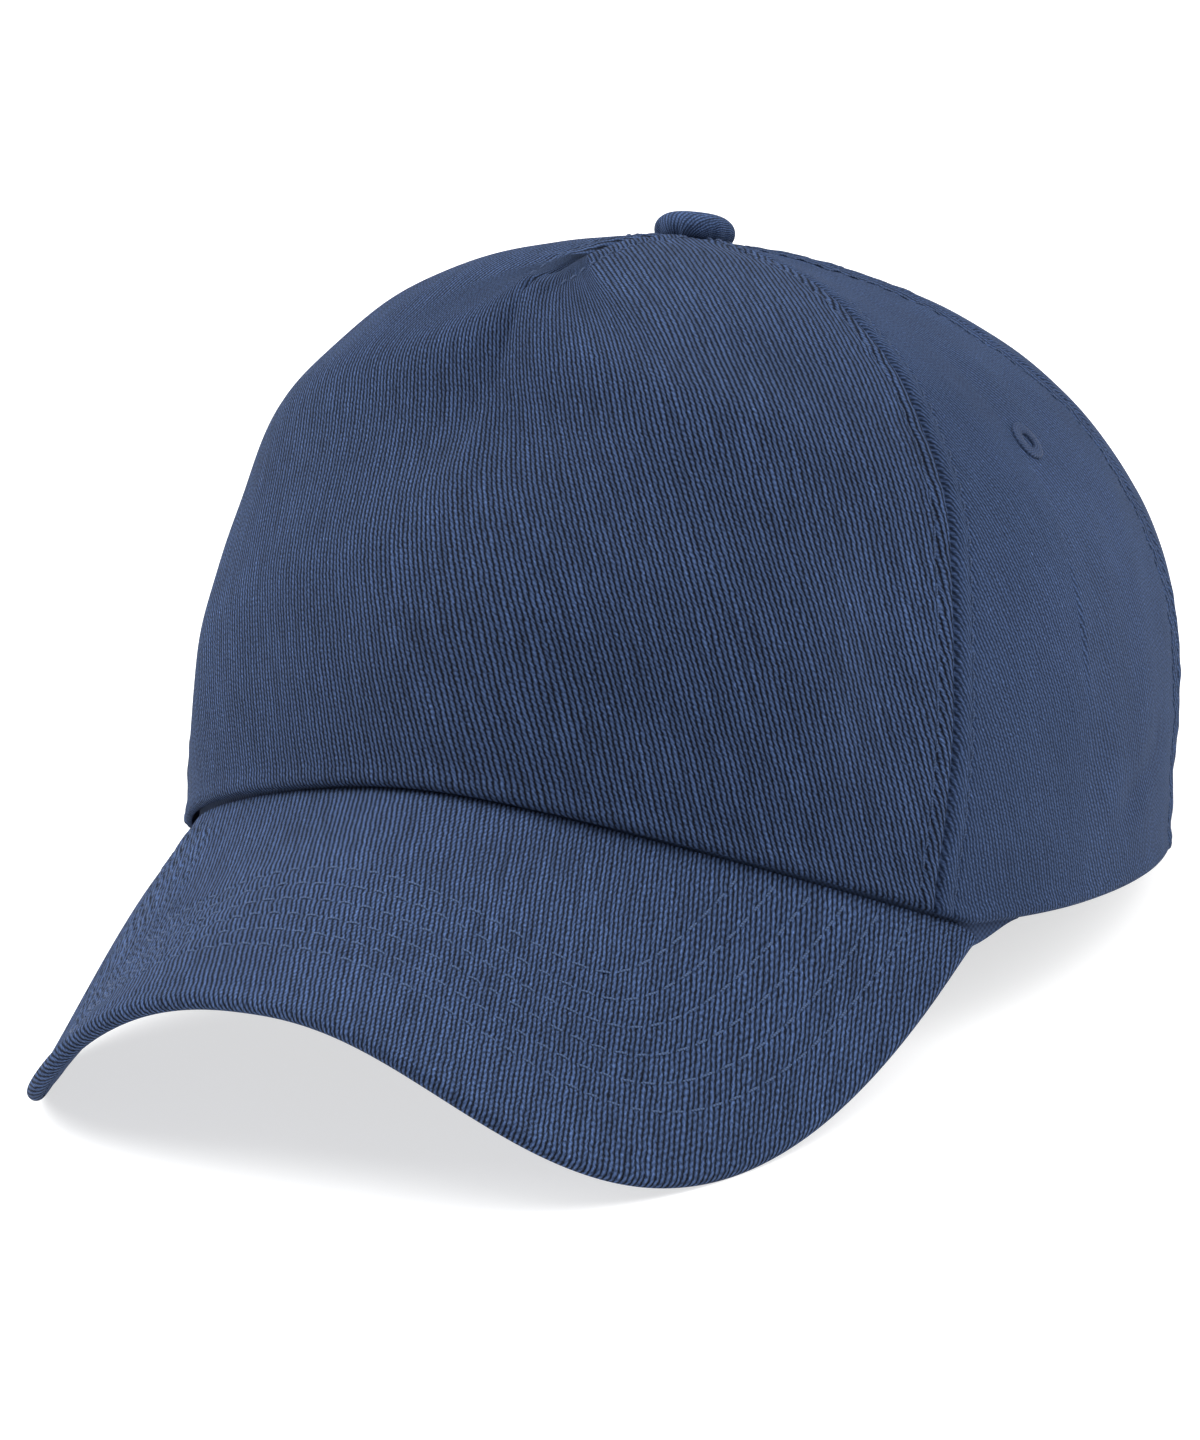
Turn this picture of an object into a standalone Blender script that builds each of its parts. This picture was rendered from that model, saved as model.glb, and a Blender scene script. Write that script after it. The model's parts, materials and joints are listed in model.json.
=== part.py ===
"""A five-panel baseball cap with a curved visor, at rest on a table.

Metres, +Z up, visor towards -Y, the wearer's left at +X. The cap is modelled with the edge of its
head opening level at z = 0 (the cap's own frame), and the empty "cap_rest" then tips all of it back
until the visor's two low corners and the back of the rim touch the table.

On the crown a point is named by its angle round the head opening (0 at the front, 90 degrees at the
wearer's left, 180 at the back), its distance up the cloth from the rim, and its depth inside the
outer face.
"""
import math

import bmesh
import bpy
import numpy as np
from mathutils import Matrix, Vector

# Crown shape
RIM_HALF_WIDTH = 0.0880
RIM_FRONT = 0.0845
RIM_BACK = 0.1195
CROWN_HEIGHT = 0.1140
APEX_BACK = 0.0097
TOP_SLOPE = 0.168
# Each row: roundness in plan towards the top, roundness of the wall, outward belly.
FRONT_SECTION = (2.20, 3.10, 0.023)
SIDE_SECTION = (1.70, 3.05, 0.0)
BACK_SECTION = (2.85, 4.00, 0.021)
SECTION_SHARE_POWER = 1.5
BELLY_HEIGHT = 0.33

# Seams, as angles round the rim at the bottom and at the top
FRONT_SEAM_LOW = math.radians(62.5)
FRONT_SEAM_HIGH = math.radians(70.0)
REAR_SEAM_LOW = math.radians(122.0)
REAR_SEAM_HIGH = math.radians(114.0)

# Cloth, tapes and gaps
CLOTH = 0.0008
TAPE = 0.0004
BAND = 0.0012
GAP = 0.0003
LAYER_GAP = 0.0005
TAPE_WIDTH = 0.0120
TAPE_START = 0.0040
TAPE_CLEAR_OF_APEX = 0.0150
DART_LENGTH = 0.0600
APEX_HOLE = 0.0030

# Depths below the crown's outer face, each layer a gap under the one outside it
TAPE_DEPTH = CLOTH + LAYER_GAP
BAND_DEPTH = TAPE_DEPTH + TAPE + LAYER_GAP
ROOT_DEPTH = BAND_DEPTH - LAYER_GAP

# Visor
VISOR_CORNER = math.radians(68.0)
VISOR_LIFT = 0.0229
LIFT_POWER = 1.43
LIFT_ROUNDING = 0.16
VISOR_REACH = 0.1080
VISOR_INSIDE_RIM = 0.0035
VISOR_HALF_WIDTH = RIM_HALF_WIDTH - VISOR_INSIDE_RIM
VISOR_TIP_HEIGHT = -0.0046
VISOR_DROP = 0.0305
DROP_POWER = 1.46
SIDE_POWER = 3.24
FRONT_POWER = 1.61
CORNER_POWER = 7.0
VISOR_CLOTH = 0.0005
BOARD = 0.0016
# The largest share of its length that a layer may start late by
LATEST_ROOT = 0.8
# How far round each layer of the visor runs; 90 degrees is its corner.
TOP_COVER_END = math.radians(88)
UNDER_COVER_END = math.radians(84)
BOARD_END = math.radians(80)
# Small steps for taking slopes: an angle or share, and a length.
SMALL_STEP = 0.01
SMALL_LENGTH = 0.0015

# Sweatband and the opening at the back
BAND_HEIGHT = 0.0320
BAND_BELOW_ROOT = 0.0040
BAND_EASE = math.radians(10)
OPENING_HALF_WIDTH = 0.0450
OPENING_HEIGHT = 0.0500
BINDING_WIDTH = 0.0070

# Straps
STRAP_LOW = 0.0045
STRAP_HEIGHT = 0.0200
STRAP = 0.0009
PATCH = 0.0006
PATCH_MARGIN = 0.0015
TAB_BEHIND_PANEL = 0.0050
TAB_TO_BAND = 0.0020
FOLD_CLEAR_OF_PANEL = 0.0080
# How far outside the over strap its hinge line stands, so that it swings clear of its sewn end
PEEL_CLEAR = 0.0010
OVER_STRAP_SHORT = 0.0070
UNDER_STRAP_SHORT = 0.0150
PATCH_SHORT = 0.0020
LOOP_PATCH_START = 0.0060
HOOK_PATCH_START = 0.0200

# Distances along the rim from the centre of the back, all taken from the opening's edge
STRAP_TAB = OPENING_HALF_WIDTH + TAB_BEHIND_PANEL
FOLD_LINE = OPENING_HALF_WIDTH - FOLD_CLEAR_OF_PANEL
OVER_STRAP_END = OPENING_HALF_WIDTH - OVER_STRAP_SHORT
UNDER_STRAP_END = OPENING_HALF_WIDTH - UNDER_STRAP_SHORT
LOOP_PATCH_SPAN = (PATCH_SHORT - OVER_STRAP_END, LOOP_PATCH_START)
HOOK_PATCH_SPAN = (-HOOK_PATCH_START, UNDER_STRAP_END - PATCH_SHORT)
UNDER_STRAP_FOLD = OPENING_HALF_WIDTH + GAP

# Button
BUTTON_RADIUS = 0.0074
BUTTON_HEIGHT = 0.0054
BUTTON_CLOTH = 0.0008
BUTTON_LIFT = 0.0005
BUTTON_SHOULDER = 0.35
BUTTON_HEM = 0.55
SHANK_RADIUS = 0.0015
WASHER_RADIUS = 0.0060
WASHER = 0.0006

# Air holes: an angle round the rim and a height up the cloth, on both sides
EYELETS = {"eyelet_side": (math.radians(93.0), 0.0850), "eyelet_back": (math.radians(148.0), 0.0820)}
EYELET_HOLE = 0.0015
EYELET_THREAD = 0.0006
EYELET_RADIUS = 0.0040
EYELET_RISE = 0.0005

SIDES = {"left": 1, "right": -1}


# The crown as a surface

def rim_plan(angle):
    """The outer edge of the head opening, seen from above."""
    reach = np.where(np.cos(angle) > 0, RIM_FRONT, RIM_BACK)
    return RIM_HALF_WIDTH * np.sin(angle), -reach * np.cos(angle)


def rim_height(angle):
    """The height of the visor's top face where it meets the crown, and 0 behind its corners."""
    share = np.clip(np.abs(angle) / VISOR_CORNER, 0, 1)

    def rounded(value):
        return (value**2 + LIFT_ROUNDING**2) ** (LIFT_POWER / 2)

    return VISOR_LIFT * (rounded(1.0) - rounded(share)) / (rounded(1.0) - rounded(0.0))


def crown_surface(angle, turn):
    """A point of the outer face: turn is 0 at the rim and a quarter turn at the apex."""
    front = np.clip(np.cos(angle), 0, 1) ** SECTION_SHARE_POWER
    back = np.clip(-np.cos(angle), 0, 1) ** SECTION_SHARE_POWER
    side = 1 - front - back
    top_power, wall_power, belly = (
        front * f + side * s + back * b for f, s, b in zip(FRONT_SECTION, SIDE_SECTION, BACK_SECTION)
    )
    spread = np.clip(np.cos(turn), 0, 1) ** (2 / top_power)
    rise = np.sin(turn) ** (2 / wall_power)
    bulge = np.clip(1 - (rise / BELLY_HEIGHT - 1) ** 2, 0, 1)
    x, y = rim_plan(angle)
    spread = spread * (1 + belly * bulge)
    low = rim_height(angle) + GAP
    height = low + (CROWN_HEIGHT - low) * rise - TOP_SLOPE * rise * (spread * y)
    return np.stack([spread * x, APEX_BACK * rise + spread * y, height], -1)


TABLE_ANGLES = np.linspace(-math.pi, math.pi, 361)
TABLE_TURNS = np.linspace(0, 1, 241) ** 1.5 * math.pi / 2
TABLE_POINTS = crown_surface(TABLE_ANGLES[:, None], TABLE_TURNS[None, :])
TABLE_STEPS = np.linalg.norm(np.diff(TABLE_POINTS, axis=1), axis=-1)
TABLE_LENGTHS = np.concatenate([np.zeros((361, 1)), np.cumsum(TABLE_STEPS, axis=1)], axis=1)


def wrapped(angle):
    return (np.asarray(angle, float) + math.pi) % (2 * math.pi) - math.pi


def cloth_length(angle):
    """The length of cloth from the rim to the apex."""
    return np.interp(wrapped(angle), TABLE_ANGLES, TABLE_LENGTHS[:, -1])


def bare_point(angle, up):
    """The outer face at a distance up the cloth. Below the rim it runs straight down."""
    angle, up = np.broadcast_arrays(wrapped(angle), np.asarray(up, float))
    place = (angle + math.pi) / (TABLE_ANGLES[1] - TABLE_ANGLES[0])
    first = np.clip(place.astype(int), 0, len(TABLE_ANGLES) - 2)
    turn = np.empty(angle.shape)
    for index in np.ndindex(angle.shape):
        i = first[index]
        share = place[index] - i
        low, high = (np.interp(up[index], TABLE_LENGTHS[j], TABLE_TURNS) for j in (i, i + 1))
        turn[index] = low + (high - low) * share
    point = crown_surface(angle, turn)
    point[..., 2] += np.minimum(up, 0)
    return point


def crown_normal(angle, up):
    up = np.clip(up, SMALL_LENGTH, cloth_length(angle) - SMALL_LENGTH)
    along = bare_point(angle + SMALL_STEP, up) - bare_point(angle - SMALL_STEP, up)
    above = bare_point(angle, up + SMALL_LENGTH) - bare_point(angle, up - SMALL_LENGTH)
    normal = np.cross(along, above)
    return normal / np.linalg.norm(normal, axis=-1, keepdims=True)


def crown_point(angle, up, depth=0.0):
    depth = np.asarray(depth, float)
    return bare_point(angle, up) - crown_normal(angle, up) * depth[..., None]


def seam_angle(low, high, share):
    """A seam leans a little between its angle at the rim and its angle at the top."""
    return low + (high - low) * share


def beside(angle, up, distance):
    """The angle a distance to the left of a point, measured round the crown."""
    point = bare_point(angle, up)
    radius = np.hypot(point[..., 0], point[..., 1] - APEX_BACK)
    return angle + distance / np.maximum(radius, APEX_HOLE / 2)


RIM_FROM_BACK = np.linspace(0, math.pi / 2, 181)
RIM_STEPS = np.diff(np.stack(rim_plan(math.pi - RIM_FROM_BACK), -1), axis=0)
RIM_LENGTHS = np.concatenate([[0], np.cumsum(np.linalg.norm(RIM_STEPS, axis=1))])


def back_angle(distance):
    """The angle at a distance along the rim from the centre of the back, positive to the left."""
    distance = np.asarray(distance, float)
    return math.pi - np.sign(distance) * np.interp(np.abs(distance), RIM_LENGTHS, RIM_FROM_BACK)


# Objects

def material(name, colour, roughness, metallic=0.0):
    made = bpy.data.materials.new(name)
    made.use_nodes = True
    shader = made.node_tree.nodes["Principled BSDF"]
    shader.inputs["Base Color"].default_value = (*colour, 1)
    shader.inputs["Roughness"].default_value = roughness
    shader.inputs["Metallic"].default_value = metallic
    made.diffuse_color = (*colour, 1)
    return made


def add_object(name, mesh, surface, parent, place=None):
    """Adds an object whose mesh is given in its parent's frame, or in the frame of place."""
    thing = bpy.data.objects.new(name, mesh)
    mesh.materials.append(surface)
    parts.objects.link(thing)
    thing.parent = parent
    if place is not None:
        thing.matrix_local = place
    return thing


def grid_mesh(name, points):
    """A sheet through a grid of points, rows upwards and columns to the left, facing outward."""
    rows, columns = points.shape[:2]
    faces = [
        (r * columns + c, r * columns + c + 1, (r + 1) * columns + c + 1, (r + 1) * columns + c)
        for r in range(rows - 1)
        for c in range(columns - 1)
    ]
    mesh = bpy.data.meshes.new(name)
    mesh.from_pydata([Vector(p) for p in points.reshape(-1, 3)], [], faces)
    mesh.shade_smooth()
    mesh.set_sharp_from_angle(angle=math.radians(40))
    return mesh


def add_sheet(name, points, thickness, surface, parent):
    """A sheet with its thickness on the inner side."""
    origin = parent.matrix_basis.translation if parent is not cap else Vector()
    sheet = add_object(name, grid_mesh(name, points - np.array(origin)), surface, parent)
    solid = sheet.modifiers.new("Thickness", "SOLIDIFY")
    solid.thickness = thickness
    solid.offset = -1
    solid.use_even_offset = True
    return sheet


def add_turned(name, profile, steps, surface, place):
    """A profile of (radius, height) points turned about the local Z axis."""
    mesh = bpy.data.meshes.new(name)
    count = len(profile)
    closed = min(radius for radius, _ in profile) > 0
    edges = [(i, (i + 1) % count) for i in range(count if closed else count - 1)]
    mesh.from_pydata([(radius, 0, height) for radius, height in profile], edges, [])
    turned = add_object(name, mesh, surface, cap, place)
    screw = turned.modifiers.new("Turn", "SCREW")
    screw.steps = screw.render_steps = steps
    screw.use_merge_vertices = True
    screw.merge_threshold = 0.00001
    screw.use_smooth_shade = True
    return turned


def facing(point, normal):
    """A frame at a point with its Z axis along a normal."""
    turn = Vector((0, 0, 1)).rotation_difference(Vector(normal))
    return Matrix.Translation(Vector(point)) @ turn.to_matrix().to_4x4()


def cut_away(target, name, shape, place):
    """Cuts a closed bmesh shape, put in its place in the cap's frame, from a piece."""
    mesh = bpy.data.meshes.new(name)
    shape.to_mesh(mesh)
    shape.free()
    cutter = bpy.data.objects.new(name, mesh)
    cutters.objects.link(cutter)
    cutter.parent = cap
    cutter.matrix_local = place
    cutter.hide_render = True
    cutter.display_type = "WIRE"
    cut = target.modifiers.new(name, "BOOLEAN")
    cut.operation = "DIFFERENCE"
    cut.object = cutter


# Crown panels

def panel_points(right_edge, left_edge, start, columns, rows):
    """A panel between two seams. Each edge gives its angle for a share of the height."""
    shares = np.linspace(0, 1, rows + 1)[:, None] * np.ones((1, len(columns)))
    across = columns[None, :] * np.ones((rows + 1, 1))
    right, left = right_edge(shares), left_edge(shares)
    angle = right + (left - right) * across
    top = cloth_length(angle) - APEX_HOLE
    low = start(angle)
    up = low + (top - low) * shares
    # Half a gap is left along each seam.
    inner = (1 - 2 * across) * GAP / 2
    return crown_point(beside(angle, up, inner), up)


def edge(low, high):
    return lambda share: seam_angle(low, high, share)


def from_rim(angle):
    return np.zeros_like(angle)


def from_opening(angle):
    """The lower edge of the back panels, which rises over the half-moon opening."""
    away = np.interp(np.abs(math.pi - np.abs(angle)), RIM_FROM_BACK, RIM_LENGTHS)
    inside = np.clip(1 - (away / OPENING_HALF_WIDTH) ** 2, 0, 1)
    return OPENING_HEIGHT * np.sqrt(inside)


def back_columns():
    """Columns of a back panel from its seam to the centre, closer together over the opening."""
    corner = math.pi - float(back_angle(OPENING_HALF_WIDTH))
    whole = math.pi - REAR_SEAM_LOW
    plain = np.linspace(0, 1 - corner / whole, 5)[:-1]
    reach = OPENING_HALF_WIDTH * np.cos(np.linspace(0, math.pi / 2, 14))
    arch = 1 - (math.pi - back_angle(reach)) / whole
    return np.concatenate([plain, arch])


def make_panels():
    twill = material("crown_twill", (0.043, 0.070, 0.137), 0.9)
    front_left = edge(FRONT_SEAM_LOW, FRONT_SEAM_HIGH)
    front_right = edge(-FRONT_SEAM_LOW, -FRONT_SEAM_HIGH)
    rear_left = edge(REAR_SEAM_LOW, REAR_SEAM_HIGH)
    rear_right = edge(-REAR_SEAM_LOW, -REAR_SEAM_HIGH)
    front = panel_points(front_right, front_left, from_rim, np.linspace(0, 1, 23), 18)
    add_sheet("front_panel", front, CLOTH, twill, cap)
    panels = {}
    side_columns = np.linspace(0, 1, 10)
    for side, sign in SIDES.items():
        near, far = (front_left, rear_left) if sign > 0 else (rear_right, front_right)
        points = panel_points(near, far, from_rim, side_columns, 18)
        panels["eyelet_side_" + side] = add_sheet("side_panel_" + side, points, CLOTH, twill, cap)
        if sign > 0:
            points = panel_points(rear_left, edge(math.pi, math.pi), from_opening, back_columns(), 30)
        else:
            columns = 1 - back_columns()[::-1]
            points = panel_points(edge(-math.pi, -math.pi), rear_right, from_opening, columns, 30)
        panels["eyelet_back_" + side] = add_sheet("back_panel_" + side, points, CLOTH, twill, cap)
    return panels


def make_eyelets(panels):
    """Air holes, each bound with a ring of thread that clasps the cloth."""
    thread = material("eyelet_thread", (0.035, 0.055, 0.110), 0.8)
    tube = EYELET_HOLE + EYELET_THREAD
    above, below = LAYER_GAP, -CLOTH - LAYER_GAP
    profile = [
        (tube, above), (EYELET_RADIUS - EYELET_RISE / 2, above), (EYELET_RADIUS, above + EYELET_RISE / 2),
        (EYELET_RADIUS - EYELET_RISE / 2, above + EYELET_RISE), (tube, above + EYELET_RISE),
        (EYELET_HOLE, above), (EYELET_HOLE, below),
        (tube, below - EYELET_RISE), (EYELET_RADIUS - EYELET_RISE, below - EYELET_RISE),
        (EYELET_RADIUS - EYELET_RISE, below), (tube, below),
    ]
    for kind, (angle, up) in EYELETS.items():
        for side, sign in SIDES.items():
            name = kind + "_" + side
            place = facing(bare_point(sign * angle, up), crown_normal(sign * angle, up))
            add_turned(name, profile[::-1], 12, thread, place)
            hole = bmesh.new()
            radius = tube + GAP
            bmesh.ops.create_cone(
                hole, cap_ends=True, segments=16, radius1=radius, radius2=radius, depth=8 * CLOTH
            )
            cut_away(panels[name], name + "_hole", hole, place)


def make_tapes():
    tape = material("seam_tape", (0.05, 0.08, 0.15), 0.9)

    def strip(name, low, high, start, rows):
        share = np.linspace(0, 1, rows + 1)[:, None]
        middle = seam_angle(low, high, share)
        up = start + (cloth_length(middle) - TAPE_CLEAR_OF_APEX - start) * share
        middle = seam_angle(low, high, up / cloth_length(middle))
        across = np.linspace(-0.5, 0.5, 3)[None, :] * TAPE_WIDTH
        angle = beside(middle * np.ones_like(across), up * np.ones_like(across), across)
        add_sheet(name, crown_point(angle, up * np.ones_like(across), TAPE_DEPTH), TAPE, tape, cap)

    for side, sign in SIDES.items():
        strip("seam_tape_front_" + side, sign * FRONT_SEAM_LOW, sign * FRONT_SEAM_HIGH, TAPE_START, 14)
        strip("seam_tape_rear_" + side, sign * REAR_SEAM_LOW, sign * REAR_SEAM_HIGH, TAPE_START, 14)
    strip("seam_tape_back", math.pi, math.pi, OPENING_HEIGHT + BINDING_WIDTH + 3 * GAP, 10)
    strip("dart_tape", 0.0, 0.0, float(cloth_length(0.0)) - DART_LENGTH, 6)


# Visor

def visor_root(psi):
    """The visor's line along the crown: psi runs from -90 to 90 degrees between its corners."""
    angle = VISOR_CORNER * psi / (math.pi / 2)
    x, y = rim_plan(angle)
    outward = np.stack([np.sin(angle) / RIM_HALF_WIDTH, -np.cos(angle) / RIM_FRONT], -1)
    outward /= np.linalg.norm(outward, axis=-1, keepdims=True)
    plan = np.stack([x, y], -1) - outward * ROOT_DEPTH
    height = rim_height(angle)
    return np.concatenate([plan, height[..., None]], -1), outward


def visor_edge(psi):
    """The top corner of the visor's outer edge."""
    corner_x, corner_y = rim_plan(VISOR_CORNER)
    sine, cosine = np.sin(psi), np.clip(np.cos(psi), 0, 1)
    share = np.abs(psi) / (math.pi / 2)
    x = VISOR_HALF_WIDTH * np.abs(sine) ** (2 / SIDE_POWER)
    x = x + (corner_x - VISOR_HALF_WIDTH) * share**CORNER_POWER
    y = corner_y - VISOR_REACH * cosine ** (2 / FRONT_POWER)
    height = VISOR_TIP_HEIGHT * cosine**2 - VISOR_DROP * np.abs(np.sin(2 * psi)) ** DROP_POWER
    return np.stack([np.sign(sine) * x, y, height], -1)


def visor_top(psi, share):
    """The visor's top face: share is 0 at the crown and 1 at the outer edge."""
    root, _ = visor_root(psi)
    return root + (visor_edge(psi) - root) * share[..., None]


def visor_normal(psi, share):
    along = visor_top(psi + SMALL_STEP, share) - visor_top(psi - SMALL_STEP, share)
    ahead = visor_top(psi, share + SMALL_STEP) - visor_top(psi, share - SMALL_STEP)
    normal = np.cross(ahead, along)
    return normal / np.linalg.norm(normal, axis=-1, keepdims=True)


def root_share(psi, reach):
    """Where a layer of the visor starts, so that its lower edge still clears the sweatband."""
    root, outward = visor_root(psi)
    lean = np.sum(visor_normal(psi, np.full(psi.shape, SMALL_STEP))[..., :2] * outward, -1)
    run = np.sum((visor_edge(psi) - root)[..., :2] * outward, -1)
    return np.clip(reach * lean / np.maximum(run, ROOT_DEPTH), 0, LATEST_ROOT)


def visor_columns(limit, columns, rows):
    """Columns across the visor, closer together at its middle, where the outer edge fans out."""
    spread = np.linspace(-1, 1, columns)
    return limit * np.sign(spread) * np.abs(spread) ** 1.5 * np.ones((rows, 1))


def visor_layer(limit, top_depth, thickness, inset, rows, columns):
    """A layer of the visor, from the crown to a distance short of the outer edge."""
    psi = visor_columns(limit, columns, rows + 1)
    length = np.linalg.norm(visor_edge(psi) - visor_root(psi)[0], axis=-1)
    start = root_share(psi, top_depth + thickness)
    end = 1 - inset / length
    share = end + (start - end) * np.linspace(0, 1, rows + 1)[:, None]
    return visor_top(psi, share) - visor_normal(psi, share) * top_depth


def wrapped_edge(limit, radius, rows, columns):
    """The half-round outer edge, from its lower side up to the top face."""
    psi = visor_columns(limit, columns, rows)
    bend = np.linspace(math.pi, 0, rows + 1)[:-1, None]
    one = np.ones_like(psi)
    normal = visor_normal(psi, one)
    along = visor_edge(psi + SMALL_STEP) - visor_edge(psi - SMALL_STEP)
    outward = np.cross(along, normal)
    outward /= np.linalg.norm(outward, axis=-1, keepdims=True)
    round_part = outward * np.sin(bend)[..., None] + normal * (np.cos(bend)[..., None] - 1)
    return visor_edge(psi) + radius * round_part


def make_visor():
    board_depth = VISOR_CLOTH + GAP
    under_depth = board_depth + BOARD + GAP
    thickness = under_depth + VISOR_CLOTH
    columns = 33
    wrap = wrapped_edge(TOP_COVER_END, thickness / 2, 5, columns)
    flat = visor_layer(TOP_COVER_END, 0.0, VISOR_CLOTH, 0.0, 4, columns)
    twill = material("visor_twill", (0.043, 0.070, 0.137), 0.9)
    add_sheet("visor_top_cover", np.concatenate([wrap, flat]), VISOR_CLOTH, twill, cap)
    board = visor_layer(BOARD_END, board_depth, BOARD, GAP, 4, columns)
    plastic = material("visor_board_plastic", (0.75, 0.75, 0.72), 0.5)
    add_sheet("visor_board", board, BOARD, plastic, cap)
    under = visor_layer(UNDER_COVER_END, under_depth, VISOR_CLOTH, 2 * GAP, 4, columns)
    lining = material("visor_lining", (0.040, 0.065, 0.125), 0.9)
    add_sheet("visor_under_cover", under, VISOR_CLOTH, lining, cap)


# Sweatband, binding and straps

def make_sweatband():
    cotton = material("sweatband_cotton", (0.045, 0.072, 0.140), 0.95)
    end = float(back_angle(STRAP_TAB + TAB_TO_BAND))
    angle = np.linspace(-end, end, 49)[None, :] * np.ones((4, 1))
    ease = np.clip((np.abs(angle) - VISOR_CORNER) / BAND_EASE, 0, 1)
    low = -2 * GAP - BAND_BELOW_ROOT * (1 - ease * ease * (3 - 2 * ease))
    up = low + (BAND_HEIGHT - low) * np.linspace(0, 1, 4)[:, None]
    band = add_sheet("sweatband", crown_point(angle, up, BAND_DEPTH), BAND, cotton, cap)
    # Behind the visor the band's lower edge is trimmed flat, level with the rim.
    below = bmesh.new()
    bmesh.ops.create_cube(below, size=4 * RIM_BACK)
    start = float(rim_plan(VISOR_CORNER + BAND_EASE)[1])
    cut_away(band, "level_of_the_rim", below, Matrix.Translation((0, start + 2 * RIM_BACK, -2 * RIM_BACK)))


def make_binding():
    """A tape sewn inside the edge of the half-moon opening."""
    tape = material("binding_tape", (0.05, 0.08, 0.15), 0.9)
    around = np.linspace(math.pi, 0, 41)[None, :] * np.ones((4, 1))
    out = GAP + BINDING_WIDTH * np.linspace(0, 1, 4)[:, None]
    away = -(OPENING_HALF_WIDTH + out) * np.cos(around)
    up = (OPENING_HEIGHT + out) * np.sin(around)
    points = crown_point(back_angle(away), up + GAP, TAPE_DEPTH)
    add_sheet("opening_binding", points, TAPE, tape, cap)


def strap_points(start, end, low, high, depth, columns, rows=3):
    """A strip along the back of the rim, from start on the wearer's right to end on the left."""
    away = np.linspace(end, start, columns)[None, :] * np.ones((rows, 1))
    up = low + (high - low) * np.linspace(0, 1, rows)[:, None]
    return crown_point(back_angle(away), up * np.ones_like(away), depth(away) * np.ones_like(away))


def add_hinge(name, distance, up, depth):
    """An empty on the line that a strap swings about."""
    hinge = bpy.data.objects.new(name, None)
    parts.objects.link(hinge)
    hinge.parent = cap
    point = crown_point(back_angle(distance), up, depth)
    hinge.matrix_basis = Matrix.Translation(Vector(point))
    return hinge


def make_straps():
    cloth = material("strap_twill", (0.043, 0.070, 0.137), 0.9)
    loops = material("loop_pile", (0.02, 0.03, 0.06), 1.0)
    hooks = material("hook_tape", (0.02, 0.03, 0.05), 0.6)
    top = STRAP_LOW + STRAP_HEIGHT
    patch_low, patch_high = STRAP_LOW + PATCH_MARGIN, top - PATCH_MARGIN
    loop_depth = BAND_DEPTH + STRAP + GAP
    hook_depth = loop_depth + PATCH + GAP
    under_depth = hook_depth + PATCH + GAP

    def level(depth):
        return lambda away: np.full_like(away, depth)

    def under(away):
        """The under strap comes out from behind the panel and then bends in behind the patches."""
        share = np.clip((away + OPENING_HALF_WIDTH) / FOLD_CLEAR_OF_PANEL, 0, 1)
        return BAND_DEPTH + (under_depth - BAND_DEPTH) * share * share * (3 - 2 * share)

    # Each strap's sewn end stays on the cap, and the rest swings about the line where it folds.
    peel = add_hinge("over_strap_hinge", FOLD_LINE, top, BAND_DEPTH - PEEL_CLEAR)
    root = strap_points(FOLD_LINE + GAP, STRAP_TAB, STRAP_LOW, top, level(BAND_DEPTH), 5)
    add_sheet("over_strap_root", root, STRAP, cloth, cap)
    over = strap_points(-OVER_STRAP_END, FOLD_LINE - GAP, STRAP_LOW, top, level(BAND_DEPTH), 15)
    add_sheet("over_strap", over, STRAP, cloth, peel)
    loop = strap_points(*LOOP_PATCH_SPAN, patch_low, patch_high, level(loop_depth), 9)
    add_sheet("loop_patch", loop, PATCH, loops, peel)

    middle = STRAP_LOW + STRAP_HEIGHT / 2
    fold = add_hinge("under_strap_hinge", -UNDER_STRAP_FOLD, middle, BAND_DEPTH + STRAP)
    root = strap_points(-STRAP_TAB, -UNDER_STRAP_FOLD - GAP, STRAP_LOW, top, level(BAND_DEPTH), 3)
    add_sheet("under_strap_root", root, STRAP, cloth, cap)
    below = strap_points(-UNDER_STRAP_FOLD + GAP, UNDER_STRAP_END, STRAP_LOW, top, under, 19)
    add_sheet("under_strap", below, STRAP, cloth, fold)
    hook = strap_points(*HOOK_PATCH_SPAN, patch_low, patch_high, level(hook_depth), 9)
    add_sheet("hook_patch", hook, PATCH, hooks, fold)


# Button

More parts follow.
